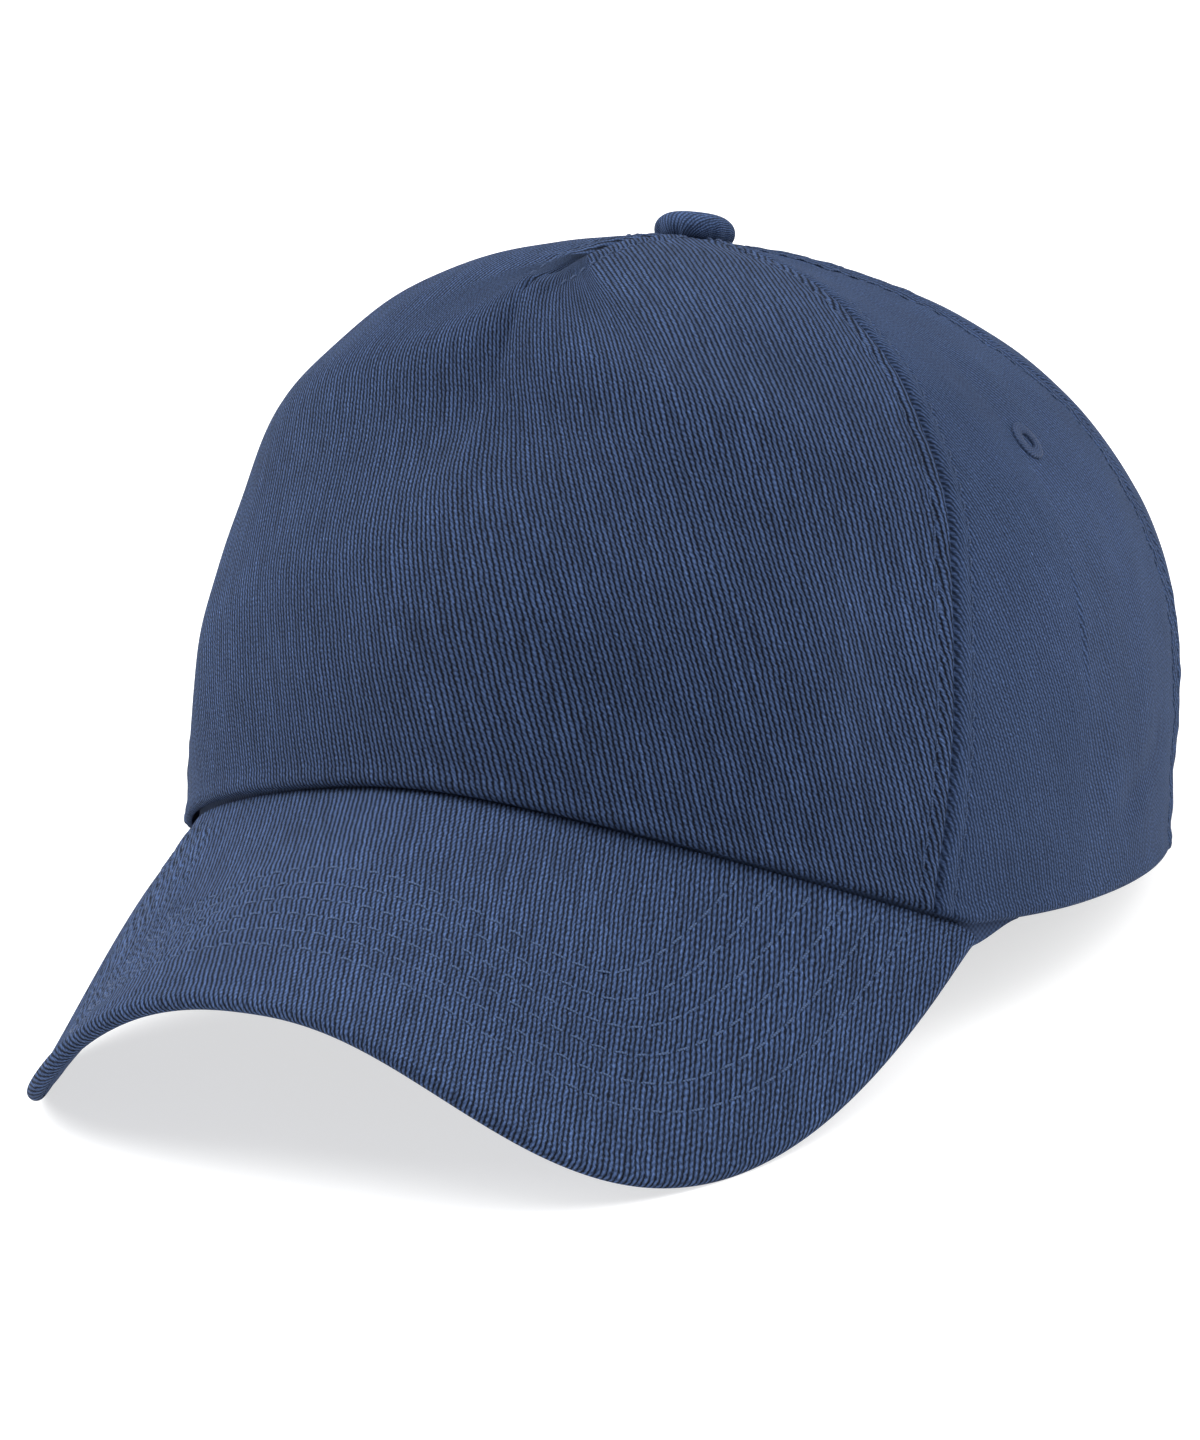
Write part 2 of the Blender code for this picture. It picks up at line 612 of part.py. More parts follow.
def make_button():
    """A cloth-covered rivet through the apex, held by a washer inside."""
    normal = Vector((0, TOP_SLOPE, 1)).normalized()
    place = facing((0, APEX_BACK, CROWN_HEIGHT), normal)
    inner = BUTTON_RADIUS - BUTTON_CLOTH
    inner_top = BUTTON_HEIGHT - BUTTON_CLOTH
    side_height = BUTTON_HEIGHT * BUTTON_SHOULDER
    hem_radius = BUTTON_RADIUS * BUTTON_HEM
    hem_top = BUTTON_LIFT + BUTTON_CLOTH / 2
    steps = np.linspace(0, math.pi / 2, 6)

    def dome(radius, height, low):
        return [(radius * math.cos(t), low + (height - low) * math.sin(t)) for t in steps]

    cover = dome(BUTTON_RADIUS, BUTTON_HEIGHT, side_height)
    hem = [(inner, BUTTON_LIFT), (hem_radius, BUTTON_LIFT), (hem_radius, hem_top), (inner, hem_top)]
    outline = cover[::-1] + hem + dome(inner, inner_top, side_height)
    cloth = material("button_twill", (0.043, 0.070, 0.137), 0.9)
    outline = [(max(radius, 0.0), height) for radius, height in outline]
    add_turned("button_cover", outline[:-1] + [(0.0, inner_top)], 16, cloth, place)

    core, base = inner - GAP, hem_top + GAP
    metal = material("button_metal", (0.7, 0.7, 0.72), 0.35, 1.0)
    shank_end = -(TAPE_DEPTH + TAPE + GAP + WASHER + GAP)
    rivet = dome(core, inner_top - GAP, side_height)[::-1]
    rivet += [(core, base), (SHANK_RADIUS, base), (SHANK_RADIUS, shank_end), (0.0, shank_end)]
    add_turned("button_rivet", rivet, 16, metal, place)

    washer_top = -(TAPE_DEPTH + TAPE)
    bore = SHANK_RADIUS + GAP
    washer = [(bore, washer_top), (WASHER_RADIUS, washer_top), (WASHER_RADIUS, washer_top - WASHER)]
    add_turned("button_washer", washer + [(bore, washer_top - WASHER)], 20, metal, place)


def world_points():
    bpy.context.view_layer.update()
    graph = bpy.context.evaluated_depsgraph_get()
    found = []
    for thing in parts.objects:
        if thing.type != "MESH":
            continue
        shape = thing.evaluated_get(graph)
        found += [thing.matrix_world @ vertex.co for vertex in shape.data.vertices]
    return np.array(found)


def rest_on_table():
    """Tips the cap back until the visor and the back of the rim are level, and centres it."""
    points = world_points()
    ahead = points[points[:, 1] < -RIM_FRONT / 2]
    behind = points[points[:, 1] > RIM_BACK / 2]
    low, high = 0.0, math.radians(30)
    for _ in range(40):
        tip = (low + high) / 2
        lowest = [(p[:, 2] * math.cos(tip) - p[:, 1] * math.sin(tip)).min() for p in (ahead, behind)]
        low, high = (tip, high) if lowest[0] < lowest[1] else (low, tip)
    cap.rotation_euler = (-tip, 0, 0)
    points = world_points()
    middle = (points.min(axis=0) + points.max(axis=0)) / 2
    cap.location = (-middle[0], -middle[1], -points[:, 2].min())


for old in list(bpy.data.objects):
    bpy.data.objects.remove(old, do_unlink=True)
parts = bpy.data.collections.new("baseball_cap")
cutters = bpy.data.collections.new("cutters")
for collection in (parts, cutters):
    bpy.context.scene.collection.children.link(collection)
cap = bpy.data.objects.new("cap_rest", None)
parts.objects.link(cap)

crown_panels = make_panels()
make_eyelets(crown_panels)
make_tapes()
make_visor()
make_sweatband()
make_binding()
make_straps()
make_button()
rest_on_table()
bpy.context.view_layer.update()
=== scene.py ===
"""The baseball cap's looks: its cloth, seams, stitching and trim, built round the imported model.

The cap's own frame has the edge of the head opening level at z = 0, the visor towards -Y and the
wearer's left at +X. "place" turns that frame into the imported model's, where the cap rests on a table.
On the crown a point is named by its angle round the head opening (0 at the front, 90 degrees at the
wearer's left), its distance up the cloth and its depth inside the outer face. Lengths are in metres.
"""

import json
import math

import bpy
import numpy as np
from mathutils import Matrix, Vector
from mathutils.kdtree import KDTree


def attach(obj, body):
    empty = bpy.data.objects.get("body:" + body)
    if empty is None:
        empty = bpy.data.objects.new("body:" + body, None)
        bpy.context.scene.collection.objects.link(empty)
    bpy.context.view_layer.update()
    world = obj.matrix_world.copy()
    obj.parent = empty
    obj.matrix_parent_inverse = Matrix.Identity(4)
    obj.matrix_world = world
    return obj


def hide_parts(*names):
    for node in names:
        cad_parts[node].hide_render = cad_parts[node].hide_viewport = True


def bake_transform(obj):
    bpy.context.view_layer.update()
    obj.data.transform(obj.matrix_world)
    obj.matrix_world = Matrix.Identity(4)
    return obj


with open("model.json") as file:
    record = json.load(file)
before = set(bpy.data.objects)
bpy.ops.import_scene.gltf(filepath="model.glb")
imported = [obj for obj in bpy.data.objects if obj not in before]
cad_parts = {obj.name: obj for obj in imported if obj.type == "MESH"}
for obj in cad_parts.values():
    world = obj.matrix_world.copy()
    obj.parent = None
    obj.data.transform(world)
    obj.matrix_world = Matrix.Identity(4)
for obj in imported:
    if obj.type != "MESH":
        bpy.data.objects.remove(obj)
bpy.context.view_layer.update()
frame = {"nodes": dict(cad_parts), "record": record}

MM = 0.001

# The crown, visor, band and straps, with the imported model's sizes
RIM_HALF_WIDTH, RIM_FRONT, RIM_BACK = 0.0880, 0.0845, 0.1195
CROWN_HEIGHT, APEX_BACK, TOP_SLOPE = 0.1140, 0.0097, 0.168
FRONT_SECTION, SIDE_SECTION, BACK_SECTION = (2.20, 3.10, 0.023), (1.70, 3.05, 0.0), (2.85, 4.00, 0.021)
SECTION_SHARE_POWER, BELLY_HEIGHT = 1.5, 0.33
FRONT_SEAM = (math.radians(62.5), math.radians(70.0))
REAR_SEAM = (math.radians(122.0), math.radians(114.0))
BACK_SEAM = (math.pi, math.pi)
CLOTH, TAPE, BAND, GAP, LAYER_GAP = 0.0008, 0.0004, 0.0012, 0.0003, 0.0005
TAPE_WIDTH, TAPE_START, TAPE_CLEAR_OF_APEX, DART_LENGTH, APEX_HOLE = 0.0120, 0.0040, 0.0150, 0.0600, 0.0030
TAPE_DEPTH = CLOTH + LAYER_GAP
BAND_DEPTH = TAPE_DEPTH + TAPE + LAYER_GAP
ROOT_DEPTH = BAND_DEPTH - LAYER_GAP
VISOR_CORNER, VISOR_LIFT, LIFT_POWER, LIFT_ROUNDING = math.radians(68.0), 0.0229, 1.43, 0.16
VISOR_REACH, VISOR_HALF_WIDTH, VISOR_TIP_HEIGHT = 0.1080, 0.0845, -0.0046
VISOR_DROP, DROP_POWER, SIDE_POWER, FRONT_POWER, CORNER_POWER = 0.0305, 1.46, 3.24, 1.61, 7.0
VISOR_CLOTH, BOARD, LATEST_ROOT = 0.0005, 0.0016, 0.8
BAND_HEIGHT, BAND_BELOW_ROOT, BAND_EASE = 0.0320, 0.0040, math.radians(10)
OPENING_HALF_WIDTH, OPENING_HEIGHT, BINDING_WIDTH = 0.0450, 0.0500, 0.0070
STRAP_LOW, STRAP_HEIGHT, STRAP, PATCH, PATCH_MARGIN = 0.0045, 0.0200, 0.0009, 0.0006, 0.0015
TAB_BEHIND_PANEL, FOLD_CLEAR_OF_PANEL, OVER_STRAP_SHORT, UNDER_STRAP_SHORT = 0.0050, 0.0080, 0.0070, 0.0150
PATCH_SHORT, LOOP_PATCH_START, HOOK_PATCH_START = 0.0020, 0.0060, 0.0200
STRAP_TAB = OPENING_HALF_WIDTH + TAB_BEHIND_PANEL
FOLD_LINE = OPENING_HALF_WIDTH - FOLD_CLEAR_OF_PANEL
OVER_STRAP_END = OPENING_HALF_WIDTH - OVER_STRAP_SHORT
UNDER_STRAP_END = OPENING_HALF_WIDTH - UNDER_STRAP_SHORT
UNDER_STRAP_FOLD = OPENING_HALF_WIDTH + GAP
LOOP_PATCH_SPAN = (PATCH_SHORT - OVER_STRAP_END, LOOP_PATCH_START)
HOOK_PATCH_SPAN = (-HOOK_PATCH_START, UNDER_STRAP_END - PATCH_SHORT)
BUTTON_RADIUS, BUTTON_HEIGHT = 0.0074, 0.0054
EYELETS = {"eyelet_side": (math.radians(93.0), 0.0850), "eyelet_back": (math.radians(148.0), 0.0820)}
EYELET_HOLE, EYELET_RADIUS = 0.0015, 0.0040
SIDES = {"left": 1, "right": -1}

# Detail: rows of stitching, the thread's radius, the grids' steps and the ribs' slant
SEAM_ROW, STITCH_PITCH, THREAD = 0.0040, 0.0034, 0.00025
VISOR_ROW_START, VISOR_ROW_STEP, VISOR_ROWS = 0.0147, 0.0047, 6
VISOR_SIDE_START, VISOR_SIDE_STEP = 0.0095, 0.0058
VISOR_STITCH_PITCH, STRAP_ROW = 0.0040, 0.0022
OPENING_ROW, DART_ROW_START, ROW_CLEAR_OF_APEX, ROW_CLEAR_OF_EDGE = 0.0045, 0.0030, 0.0100, 0.0030
FRONT_GRID, SIDE_GRID, BACK_GRID, VISOR_GRID, LINING_GRID = 0.0010, 0.0011, 0.0012, 0.00095, 0.0016
SEAM_DETAIL = np.array([0.25, 0.5, 0.8, 1.1, 1.5, 2.0, 2.6, 3.2, 3.6, 3.9, 4.2, 4.6, 5.2]) * MM
EDGE_DETAIL = np.array([0.15, 0.35, 0.6, 1.0, 1.5, 2.1]) * MM
# The visor covers' flat sizes, and how much of the top's relief shows underneath
VISOR_TOP_FLAT, VISOR_UNDER_FLAT, LINING_RELIEF = (0.205, 0.128), (0.200, 0.123), 0.6
RIB_SLANT, VISOR_RIB_SLANT = math.radians(20), math.radians(26)

# Looks, as linear colours
NAVY = (0.0285, 0.0490, 0.1080)
THREAD_NAVY = (0.044, 0.074, 0.150)
WHITE = (1, 1, 1, 1)

# Studio: each sun's azimuth, elevation and softness in degrees and its strength, and the camera
SUNS = {"left": (-78, 36, 40, 4.1), "right": (116, 36, 45, 2.35), "top": (50, 74, 60, 2.4)}
FLOOR_GREY, FLOOR_GLOW, FLOOR_HALF_SIZE, SKY = 0.5, 0.66, 12.0, 0.32
CAMERA_AZIMUTH, CAMERA_ELEVATION, CAMERA_ROLL = math.radians(30.95), math.radians(15.7), math.radians(-4.05)
CAMERA_TARGET, CAMERA_DISTANCE = (0.0, -0.020, 0.050), 1.158
LENS_MM, SENSOR_MM, SHIFT_X, SHIFT_Y = 159.05, 36.0, -0.0049, -0.0834


# The cap's own frame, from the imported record's head opening

mount = {m["name"]: m for m in frame["record"]["mounts"]}["head_opening"]
up_axis = -Vector(mount["axis"])
tip = math.atan2(up_axis.y, up_axis.z)
turn_to_rest = np.array(Matrix.Rotation(-tip, 3, "X"))
opening_centre = np.array([0.0, (RIM_BACK - RIM_FRONT) / 2, 0.0])
rest_offset = np.array(mount["pos_m"]) - turn_to_rest @ opening_centre


def place(points):
    """Points of the cap's own frame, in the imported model's frame."""
    return np.asarray(points, float) @ turn_to_rest.T + rest_offset


def unit(vectors):
    return vectors / np.linalg.norm(vectors, axis=-1, keepdims=True)


# The crown as a surface

def smooth(value, low, high):
    share = np.clip((value - low) / (high - low), 0, 1)
    return share * share * (3 - 2 * share)


def hump(value, middle, width):
    return np.exp(-(((value - middle) / width) ** 2))


def rim_plan(angle):
    reach = np.where(np.cos(angle) > 0, RIM_FRONT, RIM_BACK)
    return RIM_HALF_WIDTH * np.sin(angle), -reach * np.cos(angle)


def rim_height(angle):
    share = np.clip(np.abs(angle) / VISOR_CORNER, 0, 1)

    def rounded(value):
        return (value**2 + LIFT_ROUNDING**2) ** (LIFT_POWER / 2)

    return VISOR_LIFT * (rounded(1.0) - rounded(share)) / (rounded(1.0) - rounded(0.0))


def crown_surface(angle, turn):
    front = np.clip(np.cos(angle), 0, 1) ** SECTION_SHARE_POWER
    back = np.clip(-np.cos(angle), 0, 1) ** SECTION_SHARE_POWER
    side = 1 - front - back
    top_power, wall_power, belly = (
        front * f + side * s + back * b for f, s, b in zip(FRONT_SECTION, SIDE_SECTION, BACK_SECTION)
    )
    spread = np.clip(np.cos(turn), 0, 1) ** (2 / top_power)
    rise = np.sin(turn) ** (2 / wall_power)
    spread = spread * (1 + belly * np.clip(1 - (rise / BELLY_HEIGHT - 1) ** 2, 0, 1))
    x, y = rim_plan(angle)
    low = rim_height(angle) + GAP
    height = low + (CROWN_HEIGHT - low) * rise - TOP_SLOPE * rise * (spread * y)
    return np.stack([spread * x, APEX_BACK * rise + spread * y, height], -1)


TABLE_ANGLES = np.linspace(-math.pi, math.pi, 721)
TABLE_TURNS = np.linspace(0, 1, 481) ** 1.5 * math.pi / 2
TABLE_SHARES = np.linspace(0, 1, 401)
TABLE_STEPS = np.diff(crown_surface(TABLE_ANGLES[:, None], TABLE_TURNS[None, :]), axis=1)
TABLE_SUMS = np.cumsum(np.linalg.norm(TABLE_STEPS, axis=-1), axis=1)
TABLE_LENGTHS = TABLE_SUMS[:, -1]
TURN_TABLE = np.array([
    np.interp(TABLE_SHARES * sums[-1], np.concatenate([[0], sums]), TABLE_TURNS) for sums in TABLE_SUMS
])


def wrapped(angle):
    return (np.asarray(angle, float) + math.pi) % (2 * math.pi) - math.pi


def cloth_length(angle):
    return np.interp(wrapped(angle), TABLE_ANGLES, TABLE_LENGTHS)


def bare_point(angle, up):
    """The outer face at a distance up the cloth. Below the rim it runs straight down."""
    angle, up = np.broadcast_arrays(wrapped(angle), np.asarray(up, float))
    column = (angle + math.pi) / (TABLE_ANGLES[1] - TABLE_ANGLES[0])
    row = np.clip(up / cloth_length(angle), 0, 1) * (len(TABLE_SHARES) - 1)
    i = np.clip(column.astype(int), 0, len(TABLE_ANGLES) - 2)
    j = np.clip(row.astype(int), 0, len(TABLE_SHARES) - 2)
    a, b = column - i, row - j
    turn = (TURN_TABLE[i, j] * (1 - a) + TURN_TABLE[i + 1, j] * a) * (1 - b)
    turn += (TURN_TABLE[i, j + 1] * (1 - a) + TURN_TABLE[i + 1, j + 1] * a) * b
    point = crown_surface(angle, turn)
    point[..., 2] += np.minimum(up, 0)
    return point


def crown_normal(angle, up):
    angle, up = np.broadcast_arrays(np.asarray(angle, float), np.asarray(up, float))
    up = np.clip(up, 0.0015, cloth_length(angle) - 0.0015)
    along = bare_point(angle + 0.01, up) - bare_point(angle - 0.01, up)
    above = bare_point(angle, up + 0.0015) - bare_point(angle, up - 0.0015)
    return unit(np.cross(along, above))


def crown_radius(angle, up):
    point = bare_point(angle, up)
    return np.maximum(np.hypot(point[..., 0], point[..., 1] - APEX_BACK), APEX_HOLE / 2)


def beside(angle, up, distance):
    return angle + distance / crown_radius(angle, up)


RIM_FROM_BACK = np.linspace(0, math.pi / 2, 181)
RIM_STEPS = np.diff(np.stack(rim_plan(math.pi - RIM_FROM_BACK), -1), axis=0)
RIM_LENGTHS = np.concatenate([[0], np.cumsum(np.linalg.norm(RIM_STEPS, axis=1))])


def back_angle(distance):
    distance = np.asarray(distance, float)
    return math.pi - np.sign(distance) * np.interp(np.abs(distance), RIM_LENGTHS, RIM_FROM_BACK)


def back_distance(angle):
    return np.interp(np.abs(math.pi - np.abs(wrapped(angle))), RIM_FROM_BACK, RIM_LENGTHS)


def opening_edge(angle):
    """How far up the cloth the half-moon opening reaches."""
    return OPENING_HEIGHT * np.sqrt(np.clip(1 - (back_distance(angle) / OPENING_HALF_WIDTH) ** 2, 0, 1))


def seam_at(seam, up, sign=1):
    """A seam's angle at a distance up the cloth."""
    low, high = seam
    share = np.clip(up / (cloth_length((low + high) / 2) - APEX_HOLE), 0, 1)
    return sign * (low + (high - low) * share)


# Relief: how the real cloth stands proud of, or sinks below, the plain form

DICE = np.random.default_rng(11)


def waves(count, longest, shortest):
    """Plane waves in random directions: rows of (wave vector, phase)."""
    direction = unit(DICE.normal(size=(count, 3)))
    length = longest * (shortest / longest) ** DICE.random((count, 1))
    return direction * 2 * math.pi / length, DICE.random(count) * 2 * math.pi


SLOW_WAVES = waves(9, 0.110, 0.045)
MID_WAVES = waves(12, 0.034, 0.014)
PUCKERS = DICE.random((8, 3)) * 2 * math.pi


def wave_field(points, field):
    vectors, phases = field
    return np.sin(points @ vectors.T + phases).mean(axis=-1) * math.sqrt(len(phases))


def soft_relief(angle, up):
    """Slow dents and folds that every layer of the crown shares."""
    angle, up = np.broadcast_arrays(wrapped(angle), np.asarray(up, float))
    point = bare_point(angle, up)
    height = 0.55 * MM * wave_field(point, SLOW_WAVES) + 0.16 * MM * wave_field(point, MID_WAVES)
    x = angle * crown_radius(angle, up)
    below = cloth_length(0.0) - DART_LENGTH - up
    front = np.cos(angle) > 0
    # The dart's end: a point, a hollow under it and a shoulder that runs down on both sides.
    away = np.abs(x)
    shoulder = below - 15 * MM * (1 - np.exp(-away / (9 * MM))) - 0.07 * away
    reach = 1 - 0.75 * smooth(away, 28 * MM, 75 * MM)
    height = height + front * 1.3 * MM * hump(below, -1 * MM, 6 * MM) * hump(x, 0.0, 8 * MM)
    height = height - front * 2.4 * MM * hump(below, 26 * MM, 12 * MM) * hump(x, 7 * MM, 22 * MM)
    height = height + front * 2.0 * MM * hump(shoulder, 1 * MM, 8 * MM) * reach
    height = height - front * 1.9 * MM * hump(shoulder, 22 * MM, 13 * MM) * reach
    # A shallow trough down the middle of the panel
    trough = x - 33 * MM - 0.14 * (45 * MM - up)
    height = height - front * 1.6 * MM * hump(trough, 0.0, 14 * MM) * smooth(70 * MM - up, 0, 30 * MM)
    # Dents beside the front seams and low at the side
    for sign in (-1, 1):
        seam = (angle - seam_at(FRONT_SEAM, up, sign)) * sign * crown_radius(angle, up)
        height = height - 1.5 * MM * hump(seam, -15 * MM, 9 * MM) * hump(up, (42 - 5 * sign) * MM, 20 * MM)
        height = height + 0.8 * MM * hump(seam, -30 * MM, 9 * MM) * hump(up, (30 + 4 * sign) * MM, 22 * MM)
        low_side = (np.abs(angle) - math.radians(100)) * crown_radius(angle, up)
        slant = low_side - 1.2 * (up - 14 * MM)
        height = height - 1.3 * MM * hump(slant, 0.0, 7 * MM) * hump(up, 14 * MM, 9 * MM) * (angle * sign > 0)
    fade = smooth(up, 3 * MM, 22 * MM) * smooth(cloth_length(angle) - up, 6 * MM, 22 * MM)
    over = smooth(up - opening_edge(angle), 0.0, 14 * MM)
    return height * fade * np.where(np.abs(angle) > REAR_SEAM[0], over, 1.0)


def seam_relief(distance, along, phase, sewn=1.0):
    """A seam's groove, the raised edges beside it, its two rows of stitching and their puckers."""
    away = np.abs(distance)
    side = np.where(distance > 0, 1.0, -1.0)
    tug = sum(np.sin(along / length + side * p) for length, p in zip((1.25 * MM, 0.83 * MM, 2.1 * MM), phase))
    lap = np.cos(2 * math.pi * along / STITCH_PITCH + side)
    height = -1.0 * MM * hump(away, 0.0, 0.50 * MM)
    height = height + 0.42 * MM * hump(away, 2.1 * MM, 1.25 * MM)
    height = height + 0.06 * MM * lap * hump(away, 1.0 * MM, 0.8 * MM)
    height = height - (0.24 - 0.10 * lap) * MM * hump(away, SEAM_ROW, 0.42 * MM)
    height = height + 0.075 * MM * tug * hump(away, SEAM_ROW, 3.4 * MM)
    return height * sewn


def crown_relief(angle, up):
    """The outer face's own relief, on top of soft_relief."""
    angle, up = np.broadcast_arrays(wrapped(angle), np.asarray(up, float))
    radius = crown_radius(angle, up)
    total = np.zeros(angle.shape)
    seams = [(FRONT_SEAM, 1), (FRONT_SEAM, -1), (REAR_SEAM, 1), (REAR_SEAM, -1), (BACK_SEAM, 1)]
    for number, (seam, sign) in enumerate(seams):
        distance = wrapped(angle - seam_at(seam, up, sign)) * radius
        total = total + seam_relief(distance, up, PUCKERS[number])
    dart = smooth(up, cloth_length(0.0) - DART_LENGTH - 3 * MM, cloth_length(0.0) - DART_LENGTH)
    total = total + 0.9 * seam_relief(angle * radius, up, PUCKERS[6], dart)
    total = total * smooth(radius, 3 * MM, 11 * MM)
    # The folded edge at the bottom
    start = np.where(np.abs(angle) > REAR_SEAM[0], opening_edge(angle), 0.0)
    above = np.maximum(up - start, 0)
    total = total + 0.45 * MM * hump(above, 1.7 * MM, 1.5 * MM)
    return total - 0.55 * MM * np.clip(1 - above / (0.7 * MM), 0, 1) ** 2


def layer_point(angle, up, depth=0.0):
    """A point of a layer of the crown, in the cap's own frame."""
    normal = crown_normal(angle, up)
    lift = soft_relief(angle, up) - depth
    return bare_point(angle, up) + normal * lift[..., None]


def outer_point(angle, up):
    return layer_point(angle, up, -crown_relief(angle, up))


# Materials

class Nodes:
    """Short names for building a node tree."""

    def __init__(self, name, colour, roughness):
        self.material = bpy.data.materials.new(name)
        self.material.use_nodes = True
        self.tree = self.material.node_tree
        self.shader = self.tree.nodes["Principled BSDF"]
        self.shader.inputs["Base Color"].default_value = (*colour, 1)
        self.shader.inputs["Roughness"].default_value = roughness
        self.material.diffuse_color = (*colour, 1)

    def add(self, kind, **settings):
        node = self.tree.nodes.new(kind)
        for name, value in settings.items():
            setattr(node, name, value)
        return node

    def link(self, value, socket):
        if isinstance(value, bpy.types.NodeSocket):
            self.tree.links.new(value, socket)
        else:
            socket.default_value = value

    def math(self, operation, a, b=0.0, c=0.0):
        node = self.add("ShaderNodeMath", operation=operation)
        for value, socket in zip((a, b, c), node.inputs):
            self.link(value, socket)
        return node.outputs[0]

    def cloth(self):
        """The cloth's own coordinates, in metres: across the ribs and along them."""
        uv = self.add("ShaderNodeUVMap", uv_map="cloth")
        split = self.add("ShaderNodeSeparateXYZ")
        self.link(uv.outputs[0], split.inputs[0])
        return split.outputs[0], split.outputs[1]

    def vector(self, x, y):
        node = self.add("ShaderNodeCombineXYZ")
        for value, socket in zip((x, y), node.inputs):
            self.link(value, socket)
        return node.outputs[0]

    def noise(self, vector, scale, detail=2.0, roughness=0.5):
        node = self.add("ShaderNodeTexNoise")
        self.link(vector, node.inputs["Vector"])
        node.inputs["Scale"].default_value = scale
        node.inputs["Detail"].default_value = detail
        node.inputs["Roughness"].default_value = roughness
        return node.outputs[0]

    def set(self, **values):
        """Values of the shader's own sockets: Sheen_Weight stands for "Sheen Weight"."""
        for name, value in values.items():
            self.shader.inputs[name.replace("_", " ")].default_value = value

    def paint(self, colour):
        self.link(colour, self.shader.inputs["Base Color"])

    def object_point(self):
        return self.add("ShaderNodeTexCoord").outputs["Object"]

    def range(self, value, low, high, to_low, to_high):
        node = self.add("ShaderNodeMapRange")
        for given, socket in zip((value, low, high, to_low, to_high), node.inputs):
            self.link(given, socket)
        return node.outputs["Result"]

    def mix(self, factor, a, b):
        node = self.add("ShaderNodeMix", data_type="RGBA")
        self.link(factor, node.inputs["Factor"])
        self.link(a, node.inputs["A"])
        self.link(b, node.inputs["B"])
        return node.outputs["Result"]

    def scaled(self, colour, factor):
        """A colour times a number."""
        node = self.add("ShaderNodeVectorMath", operation="SCALE")
        self.link(colour[:3] if isinstance(colour, tuple) else colour, node.inputs[0])
        self.link(factor, node.inputs["Scale"])
        return node.outputs[0]

    def bump(self, height, distance):
        node = self.add("ShaderNodeBump")
        node.inputs["Strength"].default_value = 1.0
        node.inputs["Distance"].default_value = distance
        self.link(height, node.inputs["Height"])
        self.link(node.outputs[0], self.shader.inputs["Normal"])


def shade(colour, factor):
    return (*(part * factor for part in colour), 1)


def twill(name, colour, pitch=0.92 * MM, relief=0.42 * MM, groove_shade=0.08, fine=1.0, streaks=0.28):
    """Twill: slanting ribs of short yarn floats, with painted shade in the lines between them and painted
    highlights on their tops, streaks and flecks.
    """
    n = Nodes(name, colour, 0.9)
    across, along = n.cloth()
    bend = n.noise(n.vector(across, along), 40.0, 2.0)
    across = n.math("ADD", across, n.range(bend, 0, 1, -0.7 * MM, 0.7 * MM))
    wobble = n.noise(n.vector(across, along), 600.0, 2.0)
    across = n.math("ADD", across, n.range(wobble, 0, 1, -0.26 * MM, 0.26 * MM))
    turn = n.math("MULTIPLY", across, 2 * math.pi / pitch)
    rib = n.math("MULTIPLY_ADD", n.math("SINE", turn), 0.5, 0.5)
    # Each rib is a rope of short slanting floats, a little out of step with its neighbours.
    step = n.math("MULTIPLY", n.noise(n.vector(n.math("MULTIPLY", across, 900.0), 0.0), 1.0, 0.0), 9.0)
    slant = n.math("MULTIPLY_ADD", turn, 0.9, step)
    float_turn = n.math("ADD", n.math("MULTIPLY", along, 2 * math.pi / (0.95 * MM)), slant)
    notch = n.math("MULTIPLY_ADD", n.math("SINE", float_turn), 0.5, 0.5)
    fuzz = n.noise(n.vector(across, along), 2300.0, 3.0, 0.75)
    height = n.math("MULTIPLY", n.math("POWER", rib, 0.8), n.range(notch, 0, 1, 0.50, 1.0))
    height = n.math("ADD", height, n.range(fuzz, 0.25, 0.75, -0.30 * fine, 0.30 * fine))
    # Streaks run along single ribs, patches over many, and pale flecks of lint lie here and there.
    streak_at = n.vector(n.math("MULTIPLY", across, 950.0), n.math("MULTIPLY", along, 90.0))
    streak = n.range(n.noise(streak_at, 1.0, 2.0), 0.25, 0.75, 1 - streaks, 1 + streaks)
    patch = n.range(n.noise(n.object_point(), 45.0, 4.0), 0.3, 0.7, 0.90, 1.10)
    fleck = n.range(n.noise(n.vector(across, along), 1300.0, 1.0), 0.63, 0.78, 1.0, 1.7)
    tone = n.math("MULTIPLY", n.math("MULTIPLY", streak, patch), fleck)
    # The colour is painted shade in the grooves and painted highlight on the rib tops, following the same
    # height as the bump.
    painted_shade_and_highlight = n.mix(n.range(height, 0.10, 0.80, 0, 1), shade(colour, groove_shade), shade(colour, 1.75))
    n.paint(n.scaled(painted_shade_and_highlight, tone))
    n.link(n.range(height, 0, 1, 0.98, 0.86), n.shader.inputs["Roughness"])
    n.set(Specular_IOR_Level=0.12, Sheen_Weight=0.05, Sheen_Roughness=0.45, Sheen_Tint=(0.45, 0.62, 1.0, 1))
    n.bump(height, relief)
    return n.material


